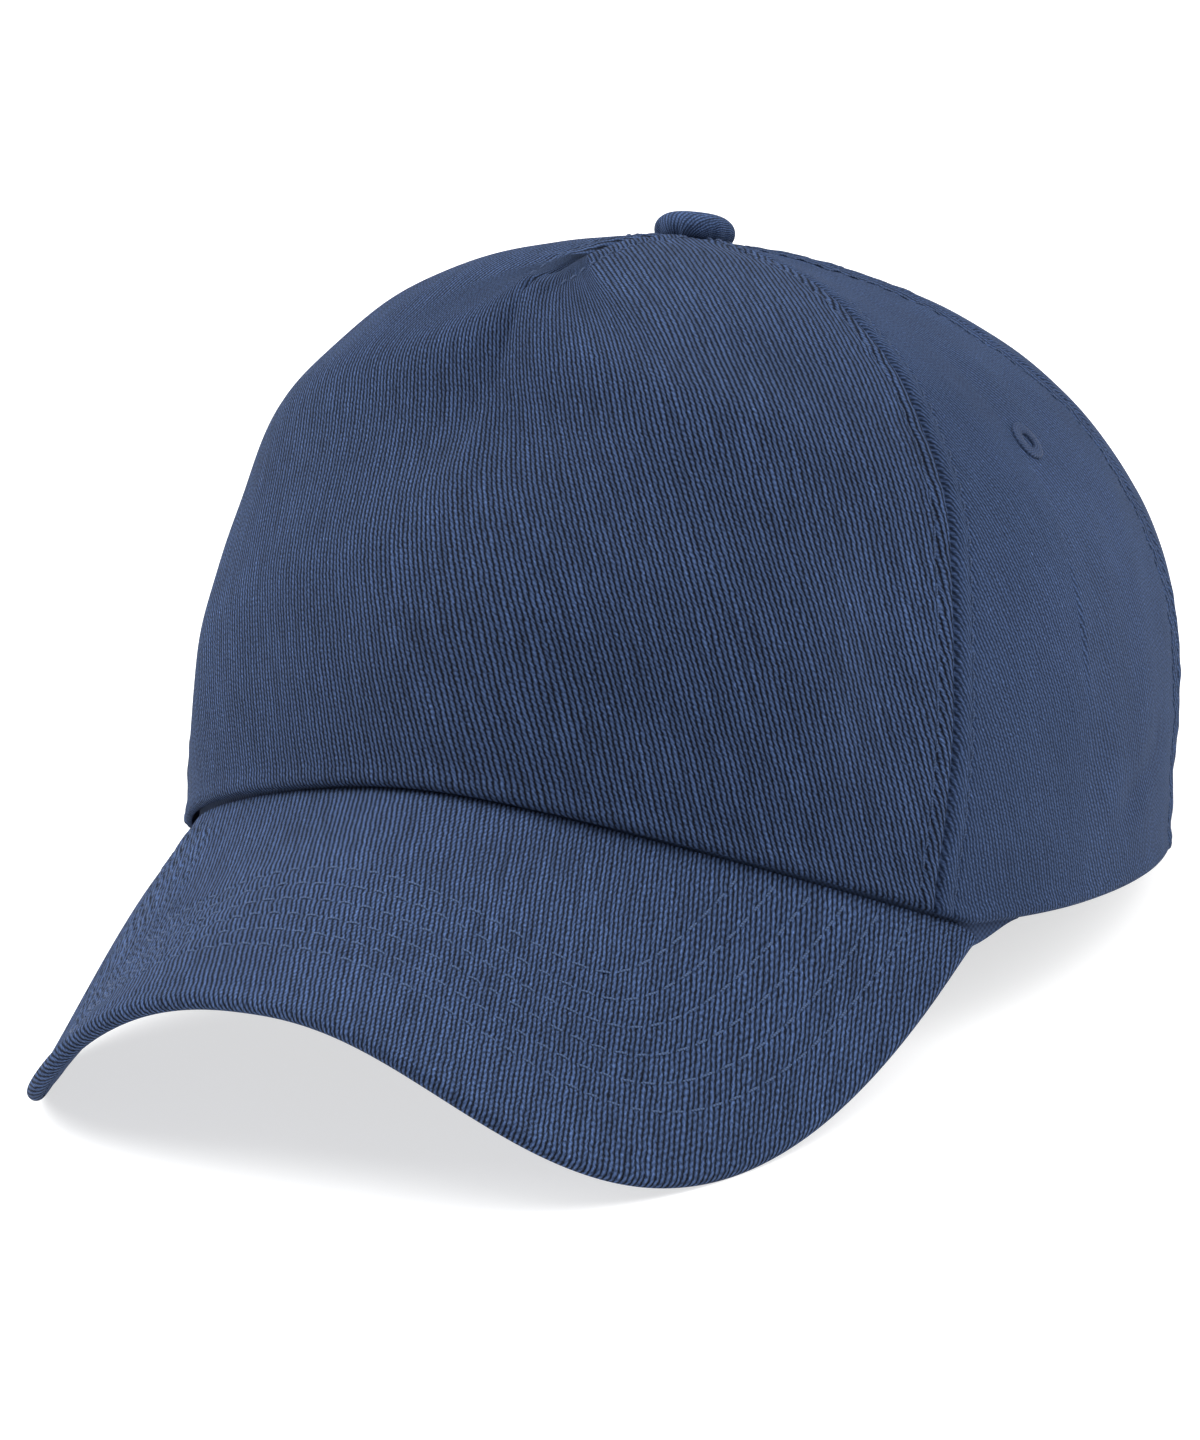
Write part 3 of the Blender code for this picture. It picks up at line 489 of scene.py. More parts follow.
def plain_weave(name, colour, pitch, relief):
    """A plain weave: yarns over and under, in both directions."""
    n = Nodes(name, colour, 0.92)
    across, along = n.cloth()
    u = n.math("SINE", n.math("MULTIPLY", across, math.pi / pitch))
    v = n.math("SINE", n.math("MULTIPLY", along, math.pi / pitch))
    weave = n.math("MULTIPLY_ADD", n.math("MULTIPLY", u, v), 0.5, 0.5)
    fuzz = n.range(n.noise(n.vector(across, along), 3000.0, 2.0, 0.7), 0.25, 0.75, -0.2, 0.2)
    height = n.math("ADD", weave, fuzz)
    tone = n.range(n.noise(n.object_point(), 90.0, 3.0), 0.3, 0.7, 0.88, 1.12)
    # The yarns are painted darker where they dip under and lighter where they ride over: painted shade and
    # painted highlight following the weave's height.
    painted_shade_and_highlight = n.mix(n.range(height, 0.1, 0.9, 0, 1), shade(colour, 0.55), shade(colour, 1.15))
    n.paint(n.scaled(painted_shade_and_highlight, tone))
    n.set(Specular_IOR_Level=0.2, Sheen_Weight=0.04, Sheen_Roughness=0.5)
    n.bump(height, relief)
    return n.material


def thread_look(name, colour):
    """Sewing thread: two plies twisted together."""
    n = Nodes(name, colour, 0.62)
    across, along = n.cloth()
    ply = n.math("ADD", across, n.math("MULTIPLY", along, 2 * math.pi / (0.55 * MM)))
    height = n.math("MULTIPLY_ADD", n.math("SINE", ply), 0.5, 0.5)
    # The plies are painted darker in the groove between them and lighter on top: painted shade and painted
    # highlight.
    n.paint(n.mix(height, shade(colour, 0.6), shade(colour, 1.15)))
    n.set(Specular_IOR_Level=0.15, Sheen_Weight=0.03)
    n.bump(height, 0.06 * MM)
    return n.material


def pile(name, colour):
    """A pile of fine loops."""
    n = Nodes(name, colour, 0.95)
    fuzz = n.noise(n.object_point(), 2200.0, 3.0, 0.7)
    n.paint(n.mix(n.range(fuzz, 0.3, 0.7, 0, 1), shade(colour, 0.4), shade(colour, 1.5)))
    n.set(Specular_IOR_Level=0.1, Sheen_Weight=0.04)
    n.bump(fuzz, 0.3 * MM)
    return n.material


def moulded(name, colour, roughness, metallic=0.0, grain=900.0):
    """Plastic or pressed metal with a fine grain and faint wear."""
    n = Nodes(name, colour, roughness)
    n.set(Metallic=metallic)
    grain_at = n.noise(n.object_point(), grain, 3.0, 0.6)
    worn = n.noise(n.object_point(), 180.0, 3.0)
    n.link(n.range(worn, 0.3, 0.7, roughness * 0.8, min(1.0, roughness * 1.3)), n.shader.inputs["Roughness"])
    n.paint(n.scaled(shade(colour, 1.0), n.range(grain_at, 0.3, 0.7, 0.93, 1.05)))
    n.bump(grain_at, 0.02 * MM)
    return n.material


# Meshes

def add_object(name, data):
    made = bpy.data.objects.new(name, data)
    bpy.context.scene.collection.objects.link(made)
    return made


def make_mesh(name, points, faces, cloth_uv, look, sharp=50):
    """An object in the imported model's frame, from points in the cap's own frame.

    cloth_uv holds an (across, along) pair for every point."""
    mesh = bpy.data.meshes.new(name)
    points = place(points.reshape(-1, 3))
    faces = np.asarray(faces, np.int32)
    mesh.vertices.add(len(points))
    mesh.vertices.foreach_set("co", points.astype(np.float32).ravel())
    corners = faces.shape[1]
    mesh.loops.add(faces.size)
    mesh.loops.foreach_set("vertex_index", faces.ravel())
    mesh.polygons.add(len(faces))
    mesh.polygons.foreach_set("loop_start", np.arange(0, faces.size, corners, dtype=np.int32))
    mesh.polygons.foreach_set("loop_total", np.full(len(faces), corners, np.int32))
    mesh.update(calc_edges=True)
    mesh.validate()
    layer = mesh.uv_layers.new(name="cloth")
    index = np.zeros(len(mesh.loops), np.int32)
    mesh.loops.foreach_get("vertex_index", index)
    layer.data.foreach_set("uv", cloth_uv.reshape(-1, 2)[index].astype(np.float32).ravel())
    mesh.shade_smooth()
    mesh.set_sharp_from_angle(angle=math.radians(sharp))
    mesh.materials.append(look)
    piece = add_object(name, mesh)
    return piece


def grid_faces(rows, columns, first=0, flip=False):
    index = first + np.arange(rows * columns).reshape(rows, columns)
    quads = np.stack([index[:-1, :-1], index[:-1, 1:], index[1:, 1:], index[1:, :-1]], -1).reshape(-1, 4)
    return quads[:, ::-1] if flip else quads


def closed_sheet(name, outer, inner, uv, look):
    """A sheet with an outer and an inner face and joined edges. Rows go up, columns to the left."""
    rows, columns = outer.shape[:2]
    count = rows * columns
    index = np.arange(count).reshape(rows, columns)
    border = np.concatenate([index[0, :], index[1:, -1], index[-1, -2::-1], index[-2:0:-1, 0]])
    after = np.roll(border, -1)
    sides = np.stack([border, border + count, after + count, after], -1)
    faces = np.concatenate([grid_faces(rows, columns), grid_faces(rows, columns, count, True), sides])
    points = np.concatenate([outer.reshape(-1, 3), inner.reshape(-1, 3)])
    return make_mesh(name, points, faces, np.concatenate([uv.reshape(-1, 2)] * 2), look)


def cap_sheet(name, node, outer, inner, uv, look):
    """A closed sheet that rides on the cap's body and stands for one node."""
    piece = closed_sheet(name, outer, inner, uv, look)
    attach(piece, "cap")
    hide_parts(node)
    return piece


def sheet_area(outer):
    """The area of a grid of points."""
    a = np.cross(outer[1:, :-1] - outer[:-1, :-1], outer[:-1, 1:] - outer[:-1, :-1])
    b = np.cross(outer[:-1, 1:] - outer[1:, 1:], outer[1:, :-1] - outer[1:, 1:])
    return float((np.linalg.norm(a, axis=-1).sum() + np.linalg.norm(b, axis=-1).sum()) / 2)


def line_lengths(points):
    return np.concatenate([[0], np.cumsum(np.linalg.norm(np.diff(points, axis=0), axis=1))])


def stitches(name, rows, pitch, look, radius=THREAD, share=0.90):
    """Stitches along rows of (points, outward normals): each is a short thread that dips in at both ends."""
    rings, sides = 6, 6
    t = np.linspace(0, 1, rings)
    bow = np.sin(math.pi * t)
    all_points, all_uv, all_faces, first = [], [], [], 0
    for points, normals in rows:
        along = line_lengths(points)
        count = int((along[-1] - pitch * 0.2) / pitch)
        if count < 1:
            continue
        step = along[-1] / count
        at = (np.arange(count)[:, None] + 0.5 - share / 2 + share * t[None, :]) * step
        centre = np.stack([np.interp(at, along, points[:, k]) for k in range(3)], -1)
        normal = np.stack([np.interp(at, along, normals[:, k]) for k in range(3)], -1)
        ahead = unit(centre[:, -1:] - centre[:, :1])
        side = unit(np.cross(ahead, normal))
        normal = np.cross(side, ahead)
        centre = centre + normal * (radius * (1.7 * bow - 0.9))[None, :, None]
        round_at = np.linspace(0, 2 * math.pi, sides, endpoint=False)
        size = radius * (0.45 + 0.55 * np.sqrt(bow))
        ring = (side[:, :, None] * np.cos(round_at)[None, None, :, None]
                + normal[:, :, None] * 0.8 * np.sin(round_at)[None, None, :, None])
        body = centre[:, :, None] + ring * size[None, :, None, None]
        all_points.append(body.reshape(-1, 3))
        uv = np.stack(np.broadcast_arrays(round_at[None, None, :], at[:, :, None]), -1)
        all_uv.append(uv.reshape(-1, 2))
        index = first + np.arange(count * rings * sides).reshape(count, rings, sides)
        after = np.roll(index, -1, axis=2)
        quads = np.stack([index[:, :-1], after[:, :-1], after[:, 1:], index[:, 1:]], -1).reshape(-1, 4)
        ends = np.concatenate([index[:, 0, ::-1], index[:, -1, :]])
        caps = np.concatenate([ends[:, [0, 1, 2, 3]], ends[:, [0, 3, 4, 5]]])
        all_faces += [quads, caps]
        first += count * rings * sides
    uv = np.concatenate(all_uv)
    return make_mesh(name, np.concatenate(all_points), np.concatenate(all_faces), uv, look, 80)


def cap_stitches(name, rows, pitch, look):
    sewn = stitches(name, rows, pitch, look)
    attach(sewn, "cap")
    return sewn


def crown_row(angle, up):
    """A row of stitching on the crown's outer face."""
    return outer_point(angle, up), crown_normal(angle, up)


def inner_row(angle, up, depth):
    """A row of stitching on the inner face of a layer of the crown."""
    return layer_point(angle, up, depth), -crown_normal(angle, up)


def arc_uv(angle, up):
    """Cloth coordinates round the crown and up it."""
    return np.stack([angle * crown_radius(angle, up), up], -1)


def slanted_uv(across, along, slant):
    """Cloth coordinates across and along ribs that lean over."""
    rib = across * math.cos(slant) + along * math.sin(slant)
    run = along * math.cos(slant) - across * math.sin(slant)
    return np.stack([rib, run], -1)


# Crown

def spaced(total, step, extra):
    """Shares from 0 to 1 about a step apart, with more of them at the given distances from each end."""
    plain = np.linspace(0, 1, max(3, int(total / step) + 1))
    near = extra / total
    shares = np.concatenate([plain, near, 1 - near])
    shares = np.unique(np.round(np.clip(shares, 0, 1), 6))
    keep = np.concatenate([[True], np.diff(shares) > 0.12 * step / total])
    keep[-1] = True
    return shares[keep]


def front_ribs(point, angle, up):
    """How far across the front panel's ribs a point is.

    The dart turns each side's ribs a little, and below it they join again. The two directions run
    across the ribs left and right of the dart."""
    left, right = np.array([0.742, 0.623, 0.247]), np.array([0.951, -0.168, 0.243])
    below = cloth_length(0.0) - DART_LENGTH - up
    width = 0.4 * MM + 40 * MM * smooth(below, -22 * MM, 20 * MM)
    apart = smooth(angle * crown_radius(angle, up), -width, width)
    offset = point - np.array([0.0, -RIM_FRONT, 0.0])
    return (offset @ left) * apart + (offset @ right) * (1 - apart)


def crown_panel(node, right, left, look, step, start):
    """One crown panel between two seams, each a (seam, sign) pair. start gives its lower edge."""
    width_height, longest = 0.030, 0.165
    right_foot, left_foot = (sign * seam[0] for seam, sign in (right, left))
    width = float(crown_radius(left_foot, width_height) * abs(left_foot - right_foot))
    across = spaced(width, step, SEAM_DETAIL)
    if node == "front_panel":
        dart = np.concatenate([-SEAM_DETAIL[::-1], SEAM_DETAIL]) / width + 0.5
        across = np.unique(np.round(np.concatenate([across, dart]), 6))
    rows = spaced(longest, step, EDGE_DETAIL)
    share = rows[:, None] * np.ones((1, len(across)))
    column = across[None, :] * np.ones((len(rows), 1))
    low_angle, high_angle = (sign * (low + (high - low) * share) for (low, high), sign in (right, left))
    angle = low_angle + (high_angle - low_angle) * column
    top = cloth_length(angle) - APEX_HOLE
    low = start(angle)
    up = low + (top - low) * share
    # A hair's breadth is left open in the seams.
    angle = beside(angle, up, (1 - 2 * column) * 0.04 * MM)
    outer, inner = outer_point(angle, up), layer_point(angle, up, CLOTH)
    if node == "front_panel":
        uv = np.stack([front_ribs(bare_point(angle, up), angle, up), up], -1)
    else:
        arc = (angle - (right_foot + left_foot) / 2) * crown_radius(angle, up)
        uv = slanted_uv(arc, up, RIB_SLANT)
    panel = cap_sheet("cloth_" + node, node, outer, inner, uv, look)
    widest = float(np.linalg.norm(np.diff(outer, axis=1), axis=-1).sum(axis=1).max())
    flat = (round(widest, 3), round(float(top.max()), 3))
    area = min(round(sheet_area(outer), 4), flat[0] * flat[1])
    return panel, flat, area


def make_crown(look, shaded_side_look, thread):
    left_front, left_rear = (FRONT_SEAM, 1), (REAR_SEAM, 1)
    right_front, right_rear = (FRONT_SEAM, -1), (REAR_SEAM, -1)
    back_left, back_right = (BACK_SEAM, 1), (BACK_SEAM, -1)
    made = {}
    for node, right, left, step, start in (
        ("front_panel", right_front, left_front, FRONT_GRID, np.zeros_like),
        ("side_panel_left", left_front, left_rear, SIDE_GRID, np.zeros_like),
        ("side_panel_right", right_rear, right_front, SIDE_GRID, np.zeros_like),
        ("back_panel_left", left_rear, back_left, BACK_GRID, opening_edge),
        ("back_panel_right", back_right, right_rear, BACK_GRID, opening_edge),
    ):
        # The side and back panels take the darker copy of the twill, which is painted shade.
        cloth = look if node == "front_panel" else shaded_side_look
        made[node] = crown_panel(node, right, left, cloth, step, start)
    # Two rows of topstitching along each seam, one on each panel
    rows = {node: [] for node in made}
    for seam, sign, ahead, behind in (
        (FRONT_SEAM, 1, "side_panel_left", "front_panel"),
        (FRONT_SEAM, -1, "front_panel", "side_panel_right"),
        (REAR_SEAM, 1, "back_panel_left", "side_panel_left"),
        (REAR_SEAM, -1, "side_panel_right", "back_panel_right"),
        (BACK_SEAM, 1, "back_panel_right", "back_panel_left"),
    ):
        middle = (seam[0] + seam[1]) / 2
        low = (OPENING_HEIGHT if seam is BACK_SEAM else 0) + ROW_CLEAR_OF_EDGE
        up = np.linspace(low, float(cloth_length(middle)) - ROW_CLEAR_OF_APEX, 260)
        angle = seam_at(seam, up, sign)
        rows[ahead].append(crown_row(beside(angle, up, SEAM_ROW), up))
        rows[behind].append(crown_row(beside(angle, up, -SEAM_ROW), up))
    length = float(cloth_length(0.0))
    up = np.linspace(length - DART_LENGTH + DART_ROW_START, length - ROW_CLEAR_OF_APEX, 90)
    for side in (-1, 1):
        rows["front_panel"].append(crown_row(beside(0.0, up, side * SEAM_ROW), up))
    # A row round the edge of the half-moon opening
    around = np.linspace(0.02, math.pi / 2 - 0.01, 120)
    for side, sign in SIDES.items():
        away = sign * (OPENING_HALF_WIDTH + OPENING_ROW) * np.cos(around)
        up = (OPENING_HEIGHT + OPENING_ROW) * np.sin(around)
        rows["back_panel_" + side].append(crown_row(back_angle(away), up))
    for node, (panel, flat, area) in made.items():
        sewn = cap_stitches("stitching_" + node, rows[node], STITCH_PITCH, thread)


def make_eyelets(thread):
    """Air holes worked with radial threads."""
    steps, lobes, profile_steps = 240, 30, 14
    for kind, (angle0, up) in EYELETS.items():
        for side, sign in SIDES.items():
            angle = sign * angle0
            centre, normal = layer_point(angle, up), crown_normal(angle, up)
            reference = unit(np.cross([0.0, 0.0, 1.0], normal))
            other = np.cross(normal, reference)
            around = np.linspace(0, 2 * math.pi, steps, endpoint=False)
            turn = np.linspace(0, 2 * math.pi, profile_steps, endpoint=False)
            ridge = 0.5 + 0.5 * np.cos(lobes * around)[:, None]
            ragged = 1 + 0.05 * np.sin(5 * around + 1)[:, None] + 0.05 * np.sin(11 * around)[:, None]
            middle = (EYELET_HOLE + EYELET_RADIUS) / 2
            half = (EYELET_RADIUS - EYELET_HOLE) / 2 * ragged
            radius = middle - half * np.cos(turn)[None, :] * (0.93 + 0.07 * ridge)
            height = np.sin(turn)[None, :]
            height = np.where(height > 0, 0.55 * MM * height, 1.25 * MM * height) * (0.75 + 0.25 * ridge)
            height = height + 0.25 * MM
            point = (centre + radius[..., None] * (np.cos(around)[:, None, None] * reference
                     + np.sin(around)[:, None, None] * other) + height[..., None] * normal)
            index = np.arange(steps * profile_steps).reshape(steps, profile_steps)
            next_around, next_turn = np.roll(index, -1, axis=0), np.roll(index, -1, axis=1)
            both = np.roll(next_around, -1, axis=1)
            faces = np.stack([index, next_turn, both, next_around], -1).reshape(-1, 4)
            uv = np.stack(np.broadcast_arrays(around[:, None] * lobes, radius), -1)
            name = kind + "_" + side
            ring = make_mesh("thread_" + name, point, faces, uv, thread)
            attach(ring, "cap")
            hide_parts(name)


def make_tapes(look, thread):
    """Tapes over the seams' inner side, each with two rows of stitching."""
    across = np.array([-0.5, -0.44, -0.3, -0.1, 0.1, 0.3, 0.44, 0.5]) * TAPE_WIDTH
    # The tape's middle is pulled in against the seam.
    depth = TAPE_DEPTH - 0.15 * MM * (1 - (2 * across / TAPE_WIDTH) ** 2)

    def strip(node, seam, sign, start, end):
        line = np.linspace(start, end, max(8, int((end - start) / (1.6 * MM))))
        middle = seam_at(seam, line, sign)
        up = line[:, None] * np.ones((1, len(across)))
        angle = beside(middle[:, None], up, across[None, :])
        outer, inner = layer_point(angle, up, depth), layer_point(angle, up, depth + TAPE)
        piece = cap_sheet("tape_" + node, node, outer, inner, arc_uv(angle, up), look)
        rows = [inner_row(beside(middle, line, side * SEAM_ROW), line, TAPE_DEPTH + TAPE) for side in (-1, 1)]
        sewn = cap_stitches("stitching_" + node, rows, STITCH_PITCH, thread)

    for side, sign in SIDES.items():
        for word, seam in (("front", FRONT_SEAM), ("rear", REAR_SEAM)):
            end = float(cloth_length(seam[1])) - TAPE_CLEAR_OF_APEX
            strip("seam_tape_" + word + "_" + side, seam, sign, TAPE_START, end)
    end = float(cloth_length(math.pi)) - TAPE_CLEAR_OF_APEX
    strip("seam_tape_back", BACK_SEAM, 1, OPENING_HEIGHT + BINDING_WIDTH + 3 * GAP, end)
    length = float(cloth_length(0.0))
    strip("dart_tape", (0.0, 0.0), 1, length - DART_LENGTH, length - TAPE_CLEAR_OF_APEX)


def make_binding(look, thread):
    """The tape round the half-moon opening. Its flat width is given as the narrowest a sheet may have."""
    around = np.linspace(math.pi, 0, 150)[None, :] * np.ones((9, 1))
    out = GAP + BINDING_WIDTH * np.linspace(0, 1, 9)[:, None]
    away = -(OPENING_HALF_WIDTH + out) * np.cos(around)
    up = (OPENING_HEIGHT + out) * np.sin(around) + GAP
    angle = back_angle(away)
    outer, inner = layer_point(angle, up, TAPE_DEPTH), layer_point(angle, up, TAPE_DEPTH + TAPE)
    along = line_lengths(outer[4])
    uv = np.stack(np.broadcast_arrays(out, along[None, :]), -1)
    piece = cap_sheet("tape_opening_binding", "opening_binding", outer, inner, uv, look)
    rows = [inner_row(angle[k], up[k], TAPE_DEPTH + TAPE) for k in (1, 5)]
    sewn = cap_stitches("stitching_opening_binding", rows, STITCH_PITCH, thread)


def make_sweatband(look, thread):
    columns, heights, clear_of_tab = 460, 30, 2 * MM
    end = float(back_angle(STRAP_TAB + clear_of_tab))
    angle = np.linspace(-end, end, columns)[None, :] * np.ones((heights, 1))
    ease = smooth(np.abs(angle), VISOR_CORNER, VISOR_CORNER + BAND_EASE)
    low = -2 * GAP - BAND_BELOW_ROOT * (1 - ease)
    low = np.where(ease > 0.999, 0.0, low)
    share = np.linspace(0, 1, heights)[:, None]
    up = low + (BAND_HEIGHT - low) * share
    # The band is soft: it stands off the crown a little at its free upper edge, in slow ripples.
    ripple = 0.55 * MM * (0.5 + 0.5 * np.sin(angle * 9 + 1.5 * np.sin(angle * 4))) * share**2
    roll = 0.35 * MM * hump(share, 1.0, 0.08) + 0.3 * MM * hump(share, 0.0, 0.07)
    depth = BAND_DEPTH + BAND + ripple + roll
    outer, inner = layer_point(angle, up, BAND_DEPTH + ripple), layer_point(angle, up, depth)
    uv = arc_uv(angle, up)
    piece = cap_sheet("cloth_sweatband", "sweatband", outer, inner, uv, look)
    rows = [inner_row(angle[k], up[k], depth[k]) for k in (3, heights - 4)]
    sewn = cap_stitches("stitching_sweatband", rows, STITCH_PITCH, thread)


# Visor

def visor_root(psi):
    """Where the visor meets the crown, and the way out from there. psi is 0 in front and 90 at a corner."""
    angle = VISOR_CORNER * psi / (math.pi / 2)
    x, y = rim_plan(angle)
    outward = unit(np.stack([np.sin(angle) / RIM_HALF_WIDTH, -np.cos(angle) / RIM_FRONT], -1))
    plan = np.stack([x, y], -1) - outward * ROOT_DEPTH
    return np.concatenate([plan, rim_height(angle)[..., None]], -1), outward


def visor_edge(psi):
    corner_x, corner_y = rim_plan(VISOR_CORNER)
    sine, cosine = np.sin(psi), np.clip(np.cos(psi), 0, 1)
    share = np.abs(psi) / (math.pi / 2)
    x = VISOR_HALF_WIDTH * np.abs(sine) ** (2 / SIDE_POWER)
    x = x + (corner_x - VISOR_HALF_WIDTH) * share**CORNER_POWER
    y = corner_y - VISOR_REACH * cosine ** (2 / FRONT_POWER)
    height = VISOR_TIP_HEIGHT * cosine**2 - VISOR_DROP * np.abs(np.sin(2 * psi)) ** DROP_POWER
    return np.stack([np.sign(sine) * x, y, height], -1)


def visor_top(psi, share):
    root, _ = visor_root(psi)
    return root + (visor_edge(psi) - root) * share[..., None]


def visor_normal(psi, share):
    along = visor_top(psi + 0.01, share) - visor_top(psi - 0.01, share)
    ahead = visor_top(psi, share + 0.01) - visor_top(psi, share - 0.01)
    return unit(np.cross(ahead, along))


def root_share(psi, reach):
    root, outward = visor_root(psi)
    lean = np.sum(visor_normal(psi, np.full(psi.shape, 0.01))[..., :2] * outward, -1)
    run = np.sum((visor_edge(psi) - root)[..., :2] * outward, -1)
    return np.clip(reach * lean / np.maximum(run, ROOT_DEPTH), 0, LATEST_ROOT)


EDGE_PSI = np.linspace(-math.pi / 2, math.pi / 2, 1201)
EDGE_POINTS = visor_edge(EDGE_PSI)
EDGE_LENGTHS = line_lengths(EDGE_POINTS)
EDGE_TREE = KDTree(len(EDGE_POINTS))
for number, edge_point in enumerate(EDGE_POINTS):
    EDGE_TREE.insert(edge_point, number)
EDGE_TREE.balance()
PROFILE_END, PROFILE_SLOPE = 0.072, 1.2
PROFILE = visor_top(EDGE_PSI, np.full(EDGE_PSI.shape, 0.7))
PROFILE = PROFILE[np.abs(PROFILE[:, 0]) < PROFILE_END + 1 * MM]
PROFILE_LENGTHS = line_lengths(PROFILE[:, [0, 2]])
PROFILE_LENGTHS = PROFILE_LENGTHS - PROFILE_LENGTHS[-1] / 2


def from_edge(points):
    """Each point's distance from the visor's outer edge, and how far along the edge that is.

    At the sides the rows of stitching start closer to the edge and stand wider apart, so there the
    distance is eased to count in rows."""
    found = [EDGE_TREE.find(p) for p in points.reshape(-1, 3)]
    distance = np.array([f[2] for f in found]).reshape(points.shape[:-1])
    along = EDGE_LENGTHS[np.array([f[1] for f in found])].reshape(points.shape[:-1])
    side = smooth(np.abs(along / EDGE_LENGTHS[-1] * 2 - 1), 0.15, 0.75)
    first = VISOR_ROW_START + (VISOR_SIDE_START - VISOR_ROW_START) * side
    step = VISOR_ROW_STEP + (VISOR_SIDE_STEP - VISOR_ROW_STEP) * side
    eased = VISOR_ROW_START + (distance - first) * VISOR_ROW_STEP / step
    return np.where(distance > first, eased, distance * VISOR_ROW_START / first), along


def visor_uv(points):
    """The visor's cloth laid flat, with the ribs slanting across it."""
    x = np.clip(points[..., 0], -PROFILE_END, PROFILE_END)
    across = np.interp(x, PROFILE[:, 0], PROFILE_LENGTHS) + (points[..., 0] - x) * PROFILE_SLOPE
    return slanted_uv(across, points[..., 1], VISOR_RIB_SLANT) * np.array([1, -1])


def visor_relief(distance, along):
    """Rows of stitching press the cloth down, and it puffs up in small cells between them."""
    height = np.zeros(distance.shape)
    last = VISOR_ROW_START + VISOR_ROW_STEP * (VISOR_ROWS - 1)
    for row in range(VISOR_ROWS):
        middle = VISOR_ROW_START + row * VISOR_ROW_STEP
        lap = np.cos(2 * math.pi * along / VISOR_STITCH_PITCH + 2.1 * row)
        height = height - (0.30 + 0.12 * lap) * MM * hump(distance, middle, 0.55 * MM)
        drift = np.sin(along / (2.7 * MM) + 1.7 * row) + np.sin(along / (1.3 * MM) + row)
        height = height + 0.06 * MM * drift * hump(distance, middle + VISOR_ROW_STEP / 2, 1.4 * MM)
        height = height + 0.09 * MM * lap * hump(distance, middle + 1.3 * MM, 0.9 * MM)
    sewn = smooth(distance, VISOR_ROW_START - 7 * MM, VISOR_ROW_START)
    sewn = sewn * (1 - smooth(distance, last, last + 9 * MM))
    height = height + 0.16 * MM * sewn
    # The seam beside the outer edge
    height = height - 0.18 * MM * hump(distance, 3.2 * MM, 0.8 * MM)
    return height + 0.10 * MM * hump(distance, 5.5 * MM, 1.6 * MM)


def visor_grid(limit, step, start, end):
    """psi and share for a grid over the visor, spaced evenly along its edge. Rows go up to the crown."""
    longest = 0.066
    low = np.interp(-limit, EDGE_PSI, EDGE_LENGTHS)
    high = np.interp(limit, EDGE_PSI, EDGE_LENGTHS)
    columns = int((high - low) / step)
    psi = np.interp(np.linspace(low, high, columns), EDGE_LENGTHS, EDGE_PSI)
    rows = int(longest / step)
    psi = psi[None, :] * np.ones((rows, 1))
    first, last = start(psi), end(psi)
    share = last + (first - last) * np.linspace(0, 1, rows)[:, None]
    return psi, share


